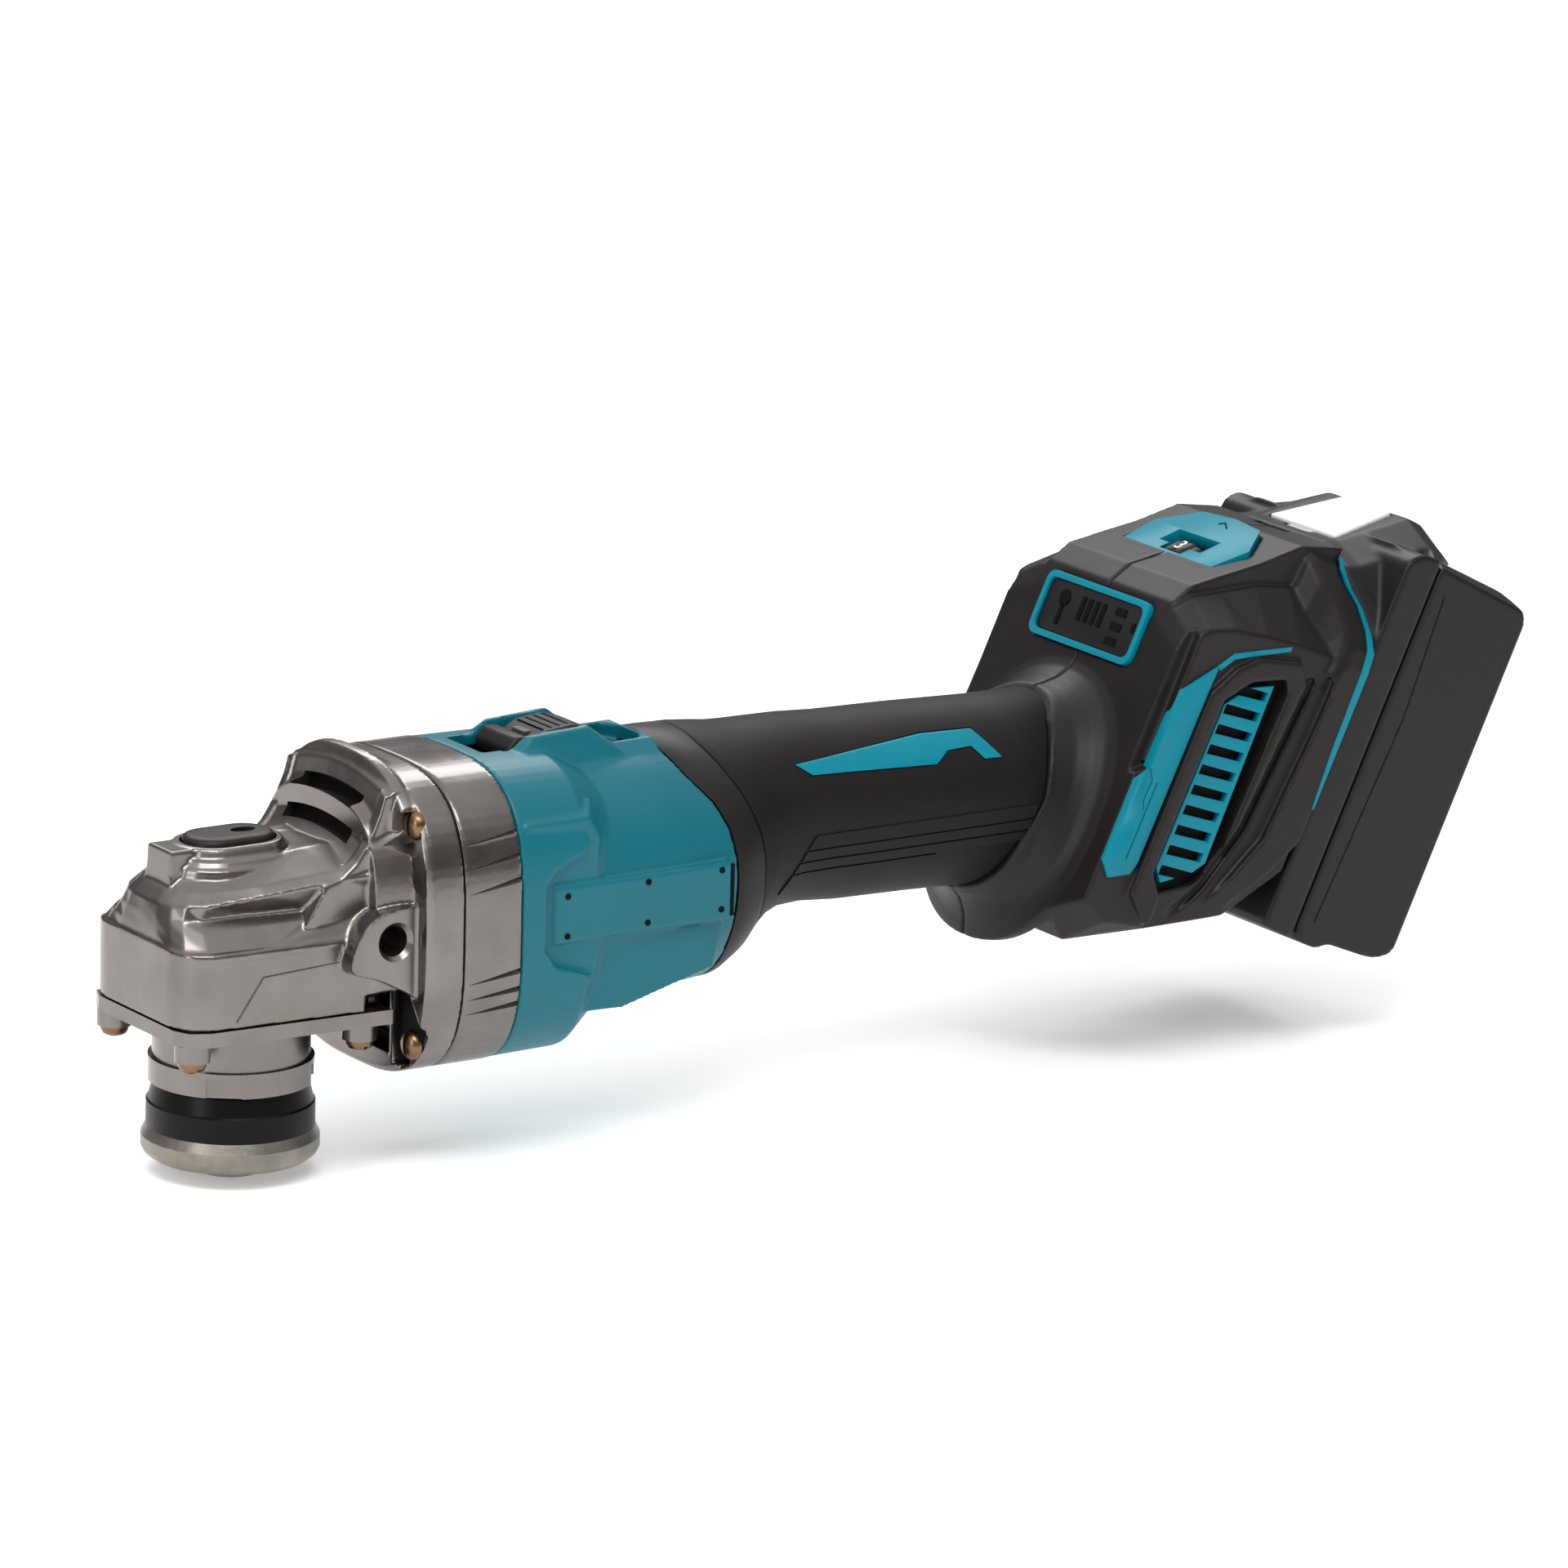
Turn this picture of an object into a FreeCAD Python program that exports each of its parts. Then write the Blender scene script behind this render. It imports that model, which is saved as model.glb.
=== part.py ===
import FreeCAD, Part
import math
import os

# Cordless angle grinder with a slide-on battery pack.  Millimetres.
# +X runs from the gear head to the battery, +Z is up, and the spindle axis is the Z axis.
# The origin is the centre of the spindle's lower end face.

# ---------------------------------------------------------------- driving dimensions
SPINDLE_THREAD_R = 7.0          # M14 spindle thread, drawn as a plain cylinder
SPINDLE_END_R = 6.8             # plain lead-in below the thread
SPINDLE_END_LENGTH = 3.5
SEAT_Z = 11.0                   # face of the inner flange that clamps the disc
FLANGE_R = 18.9
FLANGE_TOP_Z = 20.9
NUT_R = 20.0
NUT_BOTTOM_Z = 3.8
COLLAR_R = 18.6                 # guard-mounting collar
COLLAR_BOTTOM_Z = 21.4
PLATE_BOTTOM_Z = 36.0           # bearing box plate
PLATE_TOP_Z = 39.3
RIDGE_Z = 57.0                  # edge where the head's side turns into its top
DECK_Z = 66.0                   # flat top of the head around the shaft-lock boss
BOSS_TOP_Z = 76.0
CAP_TOP_Z = 78.0
MOTOR_Z = 56.0                  # height of the motor axis

HEAD_FRONT_X = -24.5
RING_FRONT_X = 40.0             # joint between the head and the aluminium ring
RING_REAR_X = 55.0              # joint between the ring and the motor housing
MOTOR_REAR_X = 118.0

HANDLE_HOLE_X = 25.0            # M8 side-handle holes, tapping size
HANDLE_HOLE_R = 3.4
HANDLE_HOLE_DEPTH = 14.0
HANDLE_LUG_Y = 28.0

GEAR_TEETH = 36
PINION_TEETH = 11
GEAR_MODULE = 1.0
PRESSURE_ANGLE = math.radians(20)
PROFILE_SHIFT = 0.35            # long pinion addendum, short gear addendum
TOOTH_THINNING = 0.10           # taken off each tooth for backlash
FACE_WIDTH = 6.0
LOCK_HOLE_RING_R = 9.0          # the shaft-lock pin stands this far ahead of the spindle

SKIN = 1.8                      # thickness of the grip sleeve and of the neck below it
SHELL = 2.6                     # wall of the plastic housings
HALF_WIDTH = 38.0               # half the rear housing's width

PACK_TILT = 24.8                # degrees the battery rails lean back from vertical
PACK_ORIGIN = (243.9, 0.0, 37.0)    # rear-housing frame: lower rear corner on the centre line
PACK_HALF_WIDTH = 37.5
RAIL_GAP = 0.3

# Outer skin of the barrel's rear end and of the grip: (x, centre height, radius).
GRIP_LINE = ((100.0, 59.0, 30.0), (118.0, 59.3, 29.5), (122.5, 59.8, 28.5), (128.5, 62.8, 25.2),
             (132.5, 64.6, 23.4), (139.0, 66.1, 21.9), (156.0, 65.2, 22.0), (198.0, 64.0, 22.0),
             (218.0, 63.8, 22.0))
# Side view (x, z) of the joints at the two ends of the black collar band.
BAND_FRONT = ((104.0, 95.0), (104.0, 87.0), (110.8, 76.5), (114.2, 66.0), (115.0, 45.0), (117.5, 20.0))
BAND_REAR = ((114.0, 95.0), (114.5, 87.0), (119.5, 76.5), (122.5, 66.0), (124.0, 45.0), (127.5, 20.0))
# Side view of the joint where the grip sleeve meets the rear housing.
SLEEVE_REAR = ((219.0, 95.0), (187.0, 38.0))

V = FreeCAD.Vector
X_AXIS = V(1, 0, 0)
Y_AXIS = V(0, 1, 0)
Z_AXIS = V(0, 0, 1)


# ---------------------------------------------------------------- shape helpers
def box(x0, x1, y0, y1, z0, z1):
    return Part.makeBox(x1 - x0, y1 - y0, z1 - z0, V(x0, y0, z0))


def rod_z(x, y, z0, z1, r):
    return Part.makeCylinder(r, z1 - z0, V(x, y, z0), Z_AXIS)


def rod_x(x0, x1, y, z, r):
    return Part.makeCylinder(r, x1 - x0, V(x0, y, z), X_AXIS)


def rod_y(x, y0, y1, z, r):
    return Part.makeCylinder(r, y1 - y0, V(x, y0, z), Y_AXIS)


def polygon_face(points):
    return Part.Face(Part.makePolygon(list(points) + [points[0]]))


def prism_xz(outline, y0, y1):
    return polygon_face([V(x, y0, z) for x, z in outline]).extrude(V(0, y1 - y0, 0))


def prism_xy(outline, z0, z1):
    return polygon_face([V(x, y, z0) for x, y in outline]).extrude(V(0, 0, z1 - z0))


def turned_z(outline):
    """Solid of revolution about the spindle axis from (radius, z) points."""
    return polygon_face([V(r, 0, z) for r, z in outline]).revolve(V(0, 0, 0), Z_AXIS, 360)


def turned_x(outline):
    """Solid of revolution about the motor axis from (x, radius) points."""
    face = polygon_face([V(x, 0, MOTOR_Z + r) for x, r in outline])
    return face.revolve(V(0, 0, MOTOR_Z), X_AXIS, 360)


def around_z(shape, count, first=0.0):
    copies = []
    for i in range(count):
        copy = shape.copy()
        copy.rotate(V(0, 0, 0), Z_AXIS, first + 360.0 * i / count)
        copies.append(copy)
    return copies


def around_x(shape, count, first=0.0):
    copies = []
    for i in range(count):
        copy = shape.copy()
        copy.rotate(V(0, 0, MOTOR_Z), X_AXIS, first + 360.0 * i / count)
        copies.append(copy)
    return copies


def both_sides(shape):
    return [shape, shape.mirror(V(0, 0, 0), Y_AXIS)]


def fuse(shapes):
    first = shapes[0]
    return first.multiFuse(list(shapes[1:])).removeSplitter() if len(shapes) > 1 else first


def one_solid(shape):
    return max(shape.Solids, key=lambda solid: solid.Volume)


def export(name, shape):
    solids = shape.Solids
    body = solids[0] if len(solids) == 1 else Part.makeCompound(solids)
    body.exportStep(os.path.join("parts", name + ".step"))


def arc(a, middle, b):
    return Part.Arc(a, middle, b).toShape()


def stadium(x, y, z, half_length, half_width, height):
    """Upright slot-shaped block, long along X."""
    flat = half_length - half_width
    left, right = x - flat, x + flat
    edges = [
        Part.makeLine(V(left, y - half_width, z), V(right, y - half_width, z)),
        arc(V(right, y - half_width, z), V(right + half_width, y, z), V(right, y + half_width, z)),
        Part.makeLine(V(right, y + half_width, z), V(left, y + half_width, z)),
        arc(V(left, y + half_width, z), V(left - half_width, y, z), V(left, y - half_width, z)),
    ]
    return Part.Face(Part.Wire(edges)).extrude(V(0, 0, height))


def spring(start, axis, length, radius, wire_r, turns):
    """Open coil spring from start along axis."""
    rise = length - 2 * wire_r
    helix = Part.makeHelix(rise / turns, rise, radius)
    ring = Part.Wire(Part.makeCircle(wire_r, V(radius, 0, 0), Y_AXIS))
    coil = Part.Wire(helix).makePipeShell([ring], True, True)
    coil.translate(V(0, 0, wire_r))
    turn = FreeCAD.Rotation(Z_AXIS, axis)
    coil.Placement = FreeCAD.Placement(start, turn).multiply(coil.Placement)
    return coil


def in_pack_frame(shape):
    """Places a shape drawn with local x across the battery rails and local z along them."""
    placed = shape.copy()
    placed.rotate(V(0, 0, 0), Y_AXIS, PACK_TILT)
    placed.translate(V(*PACK_ORIGIN))
    return placed


# ---------------------------------------------------------------- barrel sections
def barrel_wire(x, centre_z, half_y, half_z, side_z, shoulder_y, shoulder_z):
    """Closed section across the tool: flat sides, arched top and bottom, round corners."""
    corner_r = ((half_y - shoulder_y) ** 2 + (shoulder_z - side_z) ** 2) / (2 * (half_y - shoulder_y))
    sweep = math.atan2(shoulder_z - side_z, shoulder_y - half_y + corner_r) / 2
    mid_y = half_y - corner_r + corner_r * math.cos(sweep)
    mid_z = side_z + corner_r * math.sin(sweep)

    def at(y, z):
        return V(x, y, centre_z + z)

    edges = [
        Part.makeLine(at(half_y, -side_z), at(half_y, side_z)),
        arc(at(half_y, side_z), at(mid_y, mid_z), at(shoulder_y, shoulder_z)),
        arc(at(shoulder_y, shoulder_z), at(0, half_z), at(-shoulder_y, shoulder_z)),
        arc(at(-shoulder_y, shoulder_z), at(-mid_y, mid_z), at(-half_y, side_z)),
        Part.makeLine(at(-half_y, side_z), at(-half_y, -side_z)),
        arc(at(-half_y, -side_z), at(-mid_y, -mid_z), at(-shoulder_y, -shoulder_z)),
        arc(at(-shoulder_y, -shoulder_z), at(0, -half_z), at(shoulder_y, -shoulder_z)),
        arc(at(shoulder_y, -shoulder_z), at(mid_y, -mid_z), at(half_y, -side_z)),
    ]
    return Part.Wire(edges)


def square_wire(x, inset=0.0):
    """The rounded-square section shared by the head's flange, the ring and the motor's front."""
    return barrel_wire(x, MOTOR_Z, 33.5 - inset, 35.0 - inset, 19.0, 26.5 - inset, 28.2 - inset)


def round_wire(x, centre_z, radius):
    diagonal = radius * math.sqrt(0.5)
    return barrel_wire(x, centre_z, radius, radius, 0.5, diagonal, diagonal)


def square_block(x0, x1, inset=0.0):
    return Part.Face(square_wire(x0, inset)).extrude(V(x1 - x0, 0, 0))


def grip_solid(inset):
    """The barrel's rear and the grip as one solid, its skin moved in by inset."""
    wires = [Part.Wire(Part.makeCircle(r - inset, V(x, 0, z), X_AXIS)) for x, z, r in GRIP_LINE]
    return Part.makeLoft(wires, True, True)


def cut_line(points, far_x):
    """Everything on the far_x side of a joint drawn in side view."""
    outline = list(points) + [(far_x, points[-1][1]), (far_x, points[0][1])]
    return prism_xz(outline, -60, 60)


# ---------------------------------------------------------------- bearings
def ball_bearing(x0, width, bore_r, outer_r, balls):
    """Outer ring, inner ring and balls about the motor axis."""
    span = outer_r - bore_r
    ball_r = 0.29 * span
    pitch_r = (outer_r + bore_r) / 2
    middle = x0 + width / 2
    track = Part.makeTorus(pitch_r, ball_r + 0.05, V(middle, 0, MOTOR_Z), X_AXIS)
    ring = 0.27 * span
    x1 = x0 + width
    outer = turned_x([(x0, outer_r - ring), (x1, outer_r - ring), (x1, outer_r), (x0, outer_r)])
    inner = turned_x([(x0, bore_r), (x1, bore_r), (x1, bore_r + ring), (x0, bore_r + ring)])
    ball = Part.makeSphere(ball_r, V(middle, 0, MOTOR_Z + pitch_r))
    return outer.cut(track), inner.cut(track), around_x(ball, balls)


def upright(shape, z0):
    """Turns a bearing drawn at x = 0 on the motor axis onto the spindle axis, starting at z0."""
    placed = shape.copy()
    placed.translate(V(0, 0, -MOTOR_Z))
    placed.rotate(V(0, 0, 0), Y_AXIS, -90)
    placed.translate(V(0, 0, z0))
    return placed


# ---------------------------------------------------------------- bevel gears
PITCH_R_GEAR = GEAR_MODULE * GEAR_TEETH / 2
PITCH_R_PINION = GEAR_MODULE * PINION_TEETH / 2
CONE_LENGTH = math.hypot(PITCH_R_GEAR, PITCH_R_PINION)
INNER_SCALE = 1 - FACE_WIDTH / CONE_LENGTH


def involute(angle):
    return math.tan(angle) - angle


def cone_point(pitch_r, slant, turn):
    """Point at a slant distance on the back cone, seen from the common apex along the gear's axis."""
    cone = math.asin(pitch_r / CONE_LENGTH)
    height = CONE_LENGTH / math.cos(cone) - slant * math.sin(cone)
    reach = slant * math.cos(cone)
    return V(reach * math.cos(turn), reach * math.sin(turn), height)


def tooth_outline(pitch_r, teeth, addendum, dedendum, shift):
    """Star-shaped outline of a straight bevel gear, flattened from the apex onto one plane."""
    cone = math.asin(pitch_r / CONE_LENGTH)
    virtual_r = pitch_r / math.cos(cone)
    base_r = virtual_r * math.cos(PRESSURE_ANGLE)
    thickness = GEAR_MODULE * (math.pi / 2 + 2 * shift * math.tan(PRESSURE_ANGLE)) - TOOTH_THINNING
    pitch_half = thickness / (2 * virtual_r)
    root = virtual_r - dedendum
    tip = virtual_r + addendum
    start = max(root, base_r)
    flank = []
    for i in range(5):
        slant = start + (tip - start) * i / 4
        pressure = math.acos(min(1.0, base_r / slant))
        half = pitch_half + involute(PRESSURE_ANGLE) - involute(pressure)
        flank.append((slant, half))
    if root < base_r:
        flank.insert(0, (root, flank[0][1]))
    plane = math.sqrt(CONE_LENGTH ** 2 - pitch_r ** 2)
    points = []
    for i in range(teeth):
        middle = 2 * math.pi * i / teeth
        turns = [(slant, -half) for slant, half in flank] + [(slant, half) for slant, half in reversed(flank)]
        for slant, half in turns:
            point = cone_point(pitch_r, slant, middle + half / math.cos(cone))
            points.append(point.multiply(plane / point.z))
    return points


def star_cone(points, near, far):
    """Cone from the apex through a star outline, between two scaled copies of it."""
    wires = []
    for scale in (near, far):
        scaled = [V(p.x * scale, p.y * scale, p.z * scale) for p in points]
        wires.append(Part.makePolygon(scaled + [scaled[0]]))
    return Part.makeLoft(wires, True, True)


def tooth_band(pitch_r, addendum, depth):
    """Section between the front and back cones that the teeth occupy: (radius, height) corners."""
    cone = math.asin(pitch_r / CONE_LENGTH)
    virtual_r = pitch_r / math.cos(cone)
    tip = cone_point(pitch_r, virtual_r + addendum, 0)
    low = cone_point(pitch_r, virtual_r - depth, 0)
    corners = [(tip.x, tip.z), (low.x, low.z)]
    return corners + [(r * INNER_SCALE, h * INNER_SCALE) for r, h in reversed(corners)]


def ring_gear():
    addendum = GEAR_MODULE * (1 - PROFILE_SHIFT) - 0.05
    dedendum = GEAR_MODULE * (1.25 + PROFILE_SHIFT)
    star = star_cone(tooth_outline(PITCH_R_GEAR, GEAR_TEETH, addendum, dedendum, -PROFILE_SHIFT), 0.3, 2.2)
    band = tooth_band(PITCH_R_GEAR, addendum, dedendum + 1.2)
    ring = polygon_face([V(r, 0, h) for r, h in band]).revolve(V(0, 0, 0), Z_AXIS, 360)
    toothed = ring.common(star)
    toothed.rotate(V(0, 0, 0), X_AXIS, 180)
    toothed.translate(V(0, 0, MOTOR_Z))
    outer_r, outer_z = band[1][0], MOTOR_Z - band[1][1]
    inner_r, inner_z = band[2][0], MOTOR_Z - band[2][1]
    web = turned_z([(6.0, 41.0), (10.0, 41.0), (12.5, 44.0), (outer_r, 44.0), (outer_r, outer_z),
                    (inner_r, inner_z), (11.3, inner_z), (11.3, 56.0), (6.0, 56.0)])
    holes = around_z(rod_z(LOCK_HOLE_RING_R, 0, 51.5, 57.0, 2.1), 4)
    return one_solid(fuse([web, toothed]).cut(Part.makeCompound(holes)))


def pinion():
    addendum = GEAR_MODULE * (1 + PROFILE_SHIFT) - 0.15
    dedendum = GEAR_MODULE * (1.25 - PROFILE_SHIFT)
    star = star_cone(tooth_outline(PITCH_R_PINION, PINION_TEETH, addendum, dedendum, PROFILE_SHIFT), 0.4, 1.4)
    band = tooth_band(PITCH_R_PINION, addendum, dedendum)
    tip, root, inner_root, inner_tip = band
    outline = [(0, inner_root[1]), inner_root, inner_tip, tip, root, (0, root[1])]
    blank = polygon_face([V(r, 0, h) for r, h in outline]).revolve(V(0, 0, 0), Z_AXIS, 360)
    teeth = blank.common(star)
    # Turn the axis onto +X with a tooth gap facing the ring gear below.
    teeth.rotate(V(0, 0, 0), Y_AXIS, 90)
    teeth.rotate(V(0, 0, 0), X_AXIS, 180.0 / PINION_TEETH)
    teeth.translate(V(0, 0, MOTOR_Z))
    hub = turned_x([(root[1] - 0.4, 0), (root[1] - 0.4, 4.4), (27.0, 4.4), (27.0, 0)])
    bore = rod_x(10, 30, 0, MOTOR_Z, 2.0)
    return one_solid(fuse([teeth, hub]).cut(bore))


# ---------------------------------------------------------------- spindle and clamping parts
def spindle():
    return turned_z([(0, 0), (SPINDLE_END_R, 0), (SPINDLE_END_R, SPINDLE_END_LENGTH),
                     (SPINDLE_THREAD_R, SPINDLE_END_LENGTH), (SPINDLE_THREAD_R, FLANGE_TOP_Z),
                     (8.5, FLANGE_TOP_Z), (8.5, 28.5), (6.0, 28.5), (6.0, 58.0), (4.0, 58.0),
                     (4.0, 67.0), (0, 67.0)])


def spindle_circlip():
    return turned_z([(6.0, 56.0), (7.0, 56.0), (7.0, 57.1), (6.0, 57.1)])


def inner_flange():
    return turned_z([(SPINDLE_THREAD_R, SEAT_Z), (FLANGE_R, SEAT_Z), (FLANGE_R, 16.6), (18.5, 17.0),
                     (17.5, FLANGE_TOP_Z), (SPINDLE_THREAD_R, FLANGE_TOP_Z)])


def lock_nut():
    bore = SPINDLE_THREAD_R + 0.05
    body = turned_z([(bore, NUT_BOTTOM_Z), (17.8, NUT_BOTTOM_Z), (NUT_R - 0.6, 5.0), (NUT_R, 6.2),
                     (NUT_R, 8.8), (FLANGE_R, SEAT_Z), (bore, SEAT_Z)])
    pin_holes = around_z(rod_z(15.0, 0, 0, 8.5, 2.4), 4, 45)
    return body.cut(Part.makeCompound(pin_holes))


def dust_seal():
    return turned_z([(9.0, 22.0), (16.0, 22.0), (16.0, 28.0), (13.5, 28.0), (13.5, 24.0), (9.0, 24.0)])


# ---------------------------------------------------------------- gear head
SCREW_SPOTS = ((-20.0, 17.2), (-20.0, -17.2), (22.0, 18.5), (22.0, -18.5))


def box_outline(grow=0.0):
    """Plan of the head's lower box: narrow rounded front, nearly parallel sides."""
    front = HEAD_FRONT_X - grow
    side = 23.0 + grow
    return [(front, -16.5), (front, 16.5), (-22.8, 20.6 + grow), (-18.5, side - 0.4), (27.0, side + 1.4),
            (27.0, -side - 1.4), (-18.5, -side + 0.4), (-22.8, -20.6 - grow)]


def bearing_box():
    plate = prism_xy(box_outline(), PLATE_BOTTOM_Z, PLATE_TOP_Z)
    bosses = [rod_z(x, y, 32.0, PLATE_BOTTOM_Z, 4.0) for x, y in SCREW_SPOTS]
    neck = rod_z(0, 0, 27.0, PLATE_BOTTOM_Z, COLLAR_R - 0.9)
    lugs = rod_z(0, 0, COLLAR_BOTTOM_Z, 27.0, COLLAR_R)
    notch = box(COLLAR_R - 0.9, COLLAR_R + 2, -4.0, 4.0, COLLAR_BOTTOM_Z - 1, 25.8)
    lugs = lugs.cut(Part.makeCompound(around_z(notch, 4, -125)))
    body = fuse([plate, neck, lugs] + bosses)
    bore = rod_z(0, 0, COLLAR_BOTTOM_Z - 1, PLATE_TOP_Z + 1, 16.0)
    screws = [rod_z(x, y, 30.0, 42.0, 2.0) for x, y in SCREW_SPOTS]
    return one_solid(body.cut(Part.makeCompound([bore] + screws)))


def bearing_box_screws():
    screws = []
    for x, y in SCREW_SPOTS:
        head = rod_z(x, y, 29.6, 32.0, 3.5).fuse(rod_z(x, y, 29.0, 29.6, 2.6))
        slot = box(x - 2, x + 2, y - 0.5, y + 0.5, 28.0, 30.2)
        shank = rod_z(x, y, 32.0, 50.0, 2.0)
        screws.append(head.cut(slot).fuse(shank).removeSplitter())
    return Part.makeCompound(screws)


FLANGE_SCREW_OFFSET = 25.2


def flange_screw_spots():
    return [(sy * FLANGE_SCREW_OFFSET, MOTOR_Z + sz * FLANGE_SCREW_OFFSET) for sy in (-1, 1) for sz in (-1, 1)]


def gear_housing_screws():
    screws = []
    for y, z in flange_screw_spots():
        head = rod_x(29.0, 32.0, y, z, 3.6).fuse(rod_x(28.4, 29.0, y, z, 2.6))
        slot = box(27.0, 30.0, y - 0.5, y + 0.5, z - 4, z + 4)
        screws.append(head.cut(slot).fuse(rod_x(32.0, 62.0, y, z, 2.0)).removeSplitter())
    return Part.makeCompound(screws)


def head_top():
    """Sloped nose, deck, shaft-lock boss and the ramp that rises to the flange."""
    low = [V(HEAD_FRONT_X, y, RIDGE_Z) for y in (-17.0, 17.0)] + [V(30, 22, RIDGE_Z), V(30, -22, RIDGE_Z)]
    high = [V(-17.0, y, DECK_Z) for y in (-15.0, 15.0)] + [V(30, 16, DECK_Z), V(30, -16, DECK_Z)]
    nose = Part.makeLoft([Part.makePolygon(w + [w[0]]) for w in (low, high)], True, True)
    boss = stadium(-1.5, 0, RIDGE_Z, 16.0, 10.5, BOSS_TOP_Z - RIDGE_Z)
    ramp = prism_xz([(2.0, RIDGE_Z), (2.0, 66.0), (12.0, 67.5), (18.5, 70.5), (23.5, 75.5), (27.0, 83.0),
                     (27.5, 87.5), (31.0, 88.5), (RING_FRONT_X, 89.0), (RING_FRONT_X, RIDGE_Z)], -16.5, 16.5)
    return fuse([nose, boss, ramp])


def gear_housing():
    lower = prism_xy(box_outline(), PLATE_TOP_Z, RIDGE_Z)
    shoulder = prism_xy([(12.0, -HANDLE_LUG_Y), (RING_FRONT_X, -HANDLE_LUG_Y), (RING_FRONT_X, HANDLE_LUG_Y),
                         (12.0, HANDLE_LUG_Y)], 45.0, 66.0)
    shoulder = shoulder.common(square_block(10.0, RING_FRONT_X))
    flange = square_block(32.0, RING_FRONT_X)
    throat = square_block(27.0, 32.0, 5.5)
    body = fuse([lower, head_top(), shoulder, throat, flange])
    chamber = rod_z(0, 0, PLATE_TOP_Z - 1, 57.5, 19.3)
    clip_room = rod_z(0, 0, 57.0, 58.6, 7.6)
    shaft_room = rod_z(0, 0, 58.0, 68.0, 4.2)
    bush_seat = rod_z(0, 0, 60.0, 68.0, 6.0)
    tunnel = rod_x(0, RING_FRONT_X + 1, 0, MOTOR_Z, 8.2)
    air = box(30.0, RING_FRONT_X + 1, -14.0, 14.0, 66.5, 84.0)
    low_air = box(27.0, RING_FRONT_X + 1, -14.0, 14.0, 28.0, 44.0)
    cap_pocket = stadium(-1.5, 0, 69.9, 11.2, 7.1, 10.0)
    spring_well = rod_z(-LOCK_HOLE_RING_R, 0, 68.3, 71.0, 3.4)
    pin_bore = rod_z(-LOCK_HOLE_RING_R, 0, 56.0, 71.0, 1.85)
    slots = []
    for x, z in ((22.0, 70.5), (26.0, 77.5)):
        slot = box(-9.0, 9.0, -13.0, 13.0, -2.6, 2.6)
        slot.rotate(V(0, 0, 0), Y_AXIS, 25)
        slot.translate(V(x + 3, 0, z))
        slots.append(slot)
    handle_holes = both_sides(rod_y(HANDLE_HOLE_X, HANDLE_LUG_Y - HANDLE_HOLE_DEPTH, 40.0, MOTOR_Z,
                                    HANDLE_HOLE_R))
    plate_screws = [rod_z(x, y, 39.0, 50.0, 2.0) for x, y in SCREW_SPOTS]
    flange_screws = [rod_x(20.0, 41.0, y, z, 2.0) for y, z in flange_screw_spots()]
    heads = [rod_x(24.0, 32.0, y, z, 4.2) for y, z in flange_screw_spots()]
    tools = [chamber, clip_room, shaft_room, bush_seat, tunnel, air, low_air, cap_pocket, spring_well,
             pin_bore]
    tools += slots + handle_holes + plate_screws + flange_screws + heads
    return one_solid(body.cut(tools))


def needle_bush():
    return turned_z([(4.04, 60.0), (6.0, 60.0), (6.0, 67.5), (4.04, 67.5)])


def shaft_lock_cap():
    cap = stadium(-1.5, 0, 74.4, 10.8, 6.7, CAP_TOP_Z - 74.4)
    rim = [edge for edge in cap.Edges if edge.BoundBox.ZMin > CAP_TOP_Z - 0.01]
    cap = cap.makeFillet(0.7, rim)
    recess = rod_z(-LOCK_HOLE_RING_R, 0, 74.0, 75.4, 3.3)
    pin_seat = rod_z(-LOCK_HOLE_RING_R, 0, 74.0, 76.4, 1.8)
    dimple = Part.makeSphere(2.0, V(1.0, 0, CAP_TOP_Z + 1.3))
    return cap.cut([recess, pin_seat, dimple])


def shaft_lock_pin():
    return rod_z(-LOCK_HOLE_RING_R, 0, 56.6, 76.4, 1.8)


def shaft_lock_spring():
    return spring(V(-LOCK_HOLE_RING_R, 0, 68.35), Z_AXIS, 7.0, 2.6, 0.28, 5)


# ---------------------------------------------------------------- aluminium ring and motor
def bearing_carrier():
    ring = square_block(RING_FRONT_X, RING_REAR_X)
    hollow = square_block(49.0, RING_REAR_X + 1, 4.0)
    grooves = []
    for dz in (-21.5, -17.0, -12.5, 5.5, 10.5, 15.5):
        groove = box(42.5, RING_REAR_X + 1, 33.0, 34.5, MOTOR_Z + dz - 0.8, MOTOR_Z + dz + 0.8)
        grooves += both_sides(groove)
    seat = rod_x(41.0, 50.0, 0, MOTOR_Z, 11.0)
    passage = rod_x(39.0, 42.0, 0, MOTOR_Z, 7.0)
    vents = []
    for lo, hi in ((69.5, 83.0), (29.0, 42.5)):
        vents.append(box(39.0, 50.0, -14.0, 14.0, lo, hi))
    screws = [rod_x(39.0, 56.0, y, z, 2.0) for y, z in flange_screw_spots()]
    bosses = [rod_x(49.0, RING_REAR_X, y, z, 5.0).common(ring) for y, z in flange_screw_spots()]
    body = fuse([ring.cut(hollow)] + bosses)
    return one_solid(body.cut([seat, passage] + vents + screws + grooves))


def rotor_shaft():
    return turned_x([(14.0, 0), (14.0, 2.0), (27.0, 2.0), (27.0, 4.0), (96.0, 4.0), (96.0, 3.5),
                     (104.4, 3.5), (104.4, 0)])


def rotor_core():
    core = turned_x([(66.5, 4.0), (90.5, 4.0), (90.5, 13.4), (66.5, 13.4)])
    slots = around_x(box(66.0, 91.0, -4.0, 4.0, MOTOR_Z + 9.6, MOTOR_Z + 11.2), 8)
    return core.cut(slots)


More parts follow.
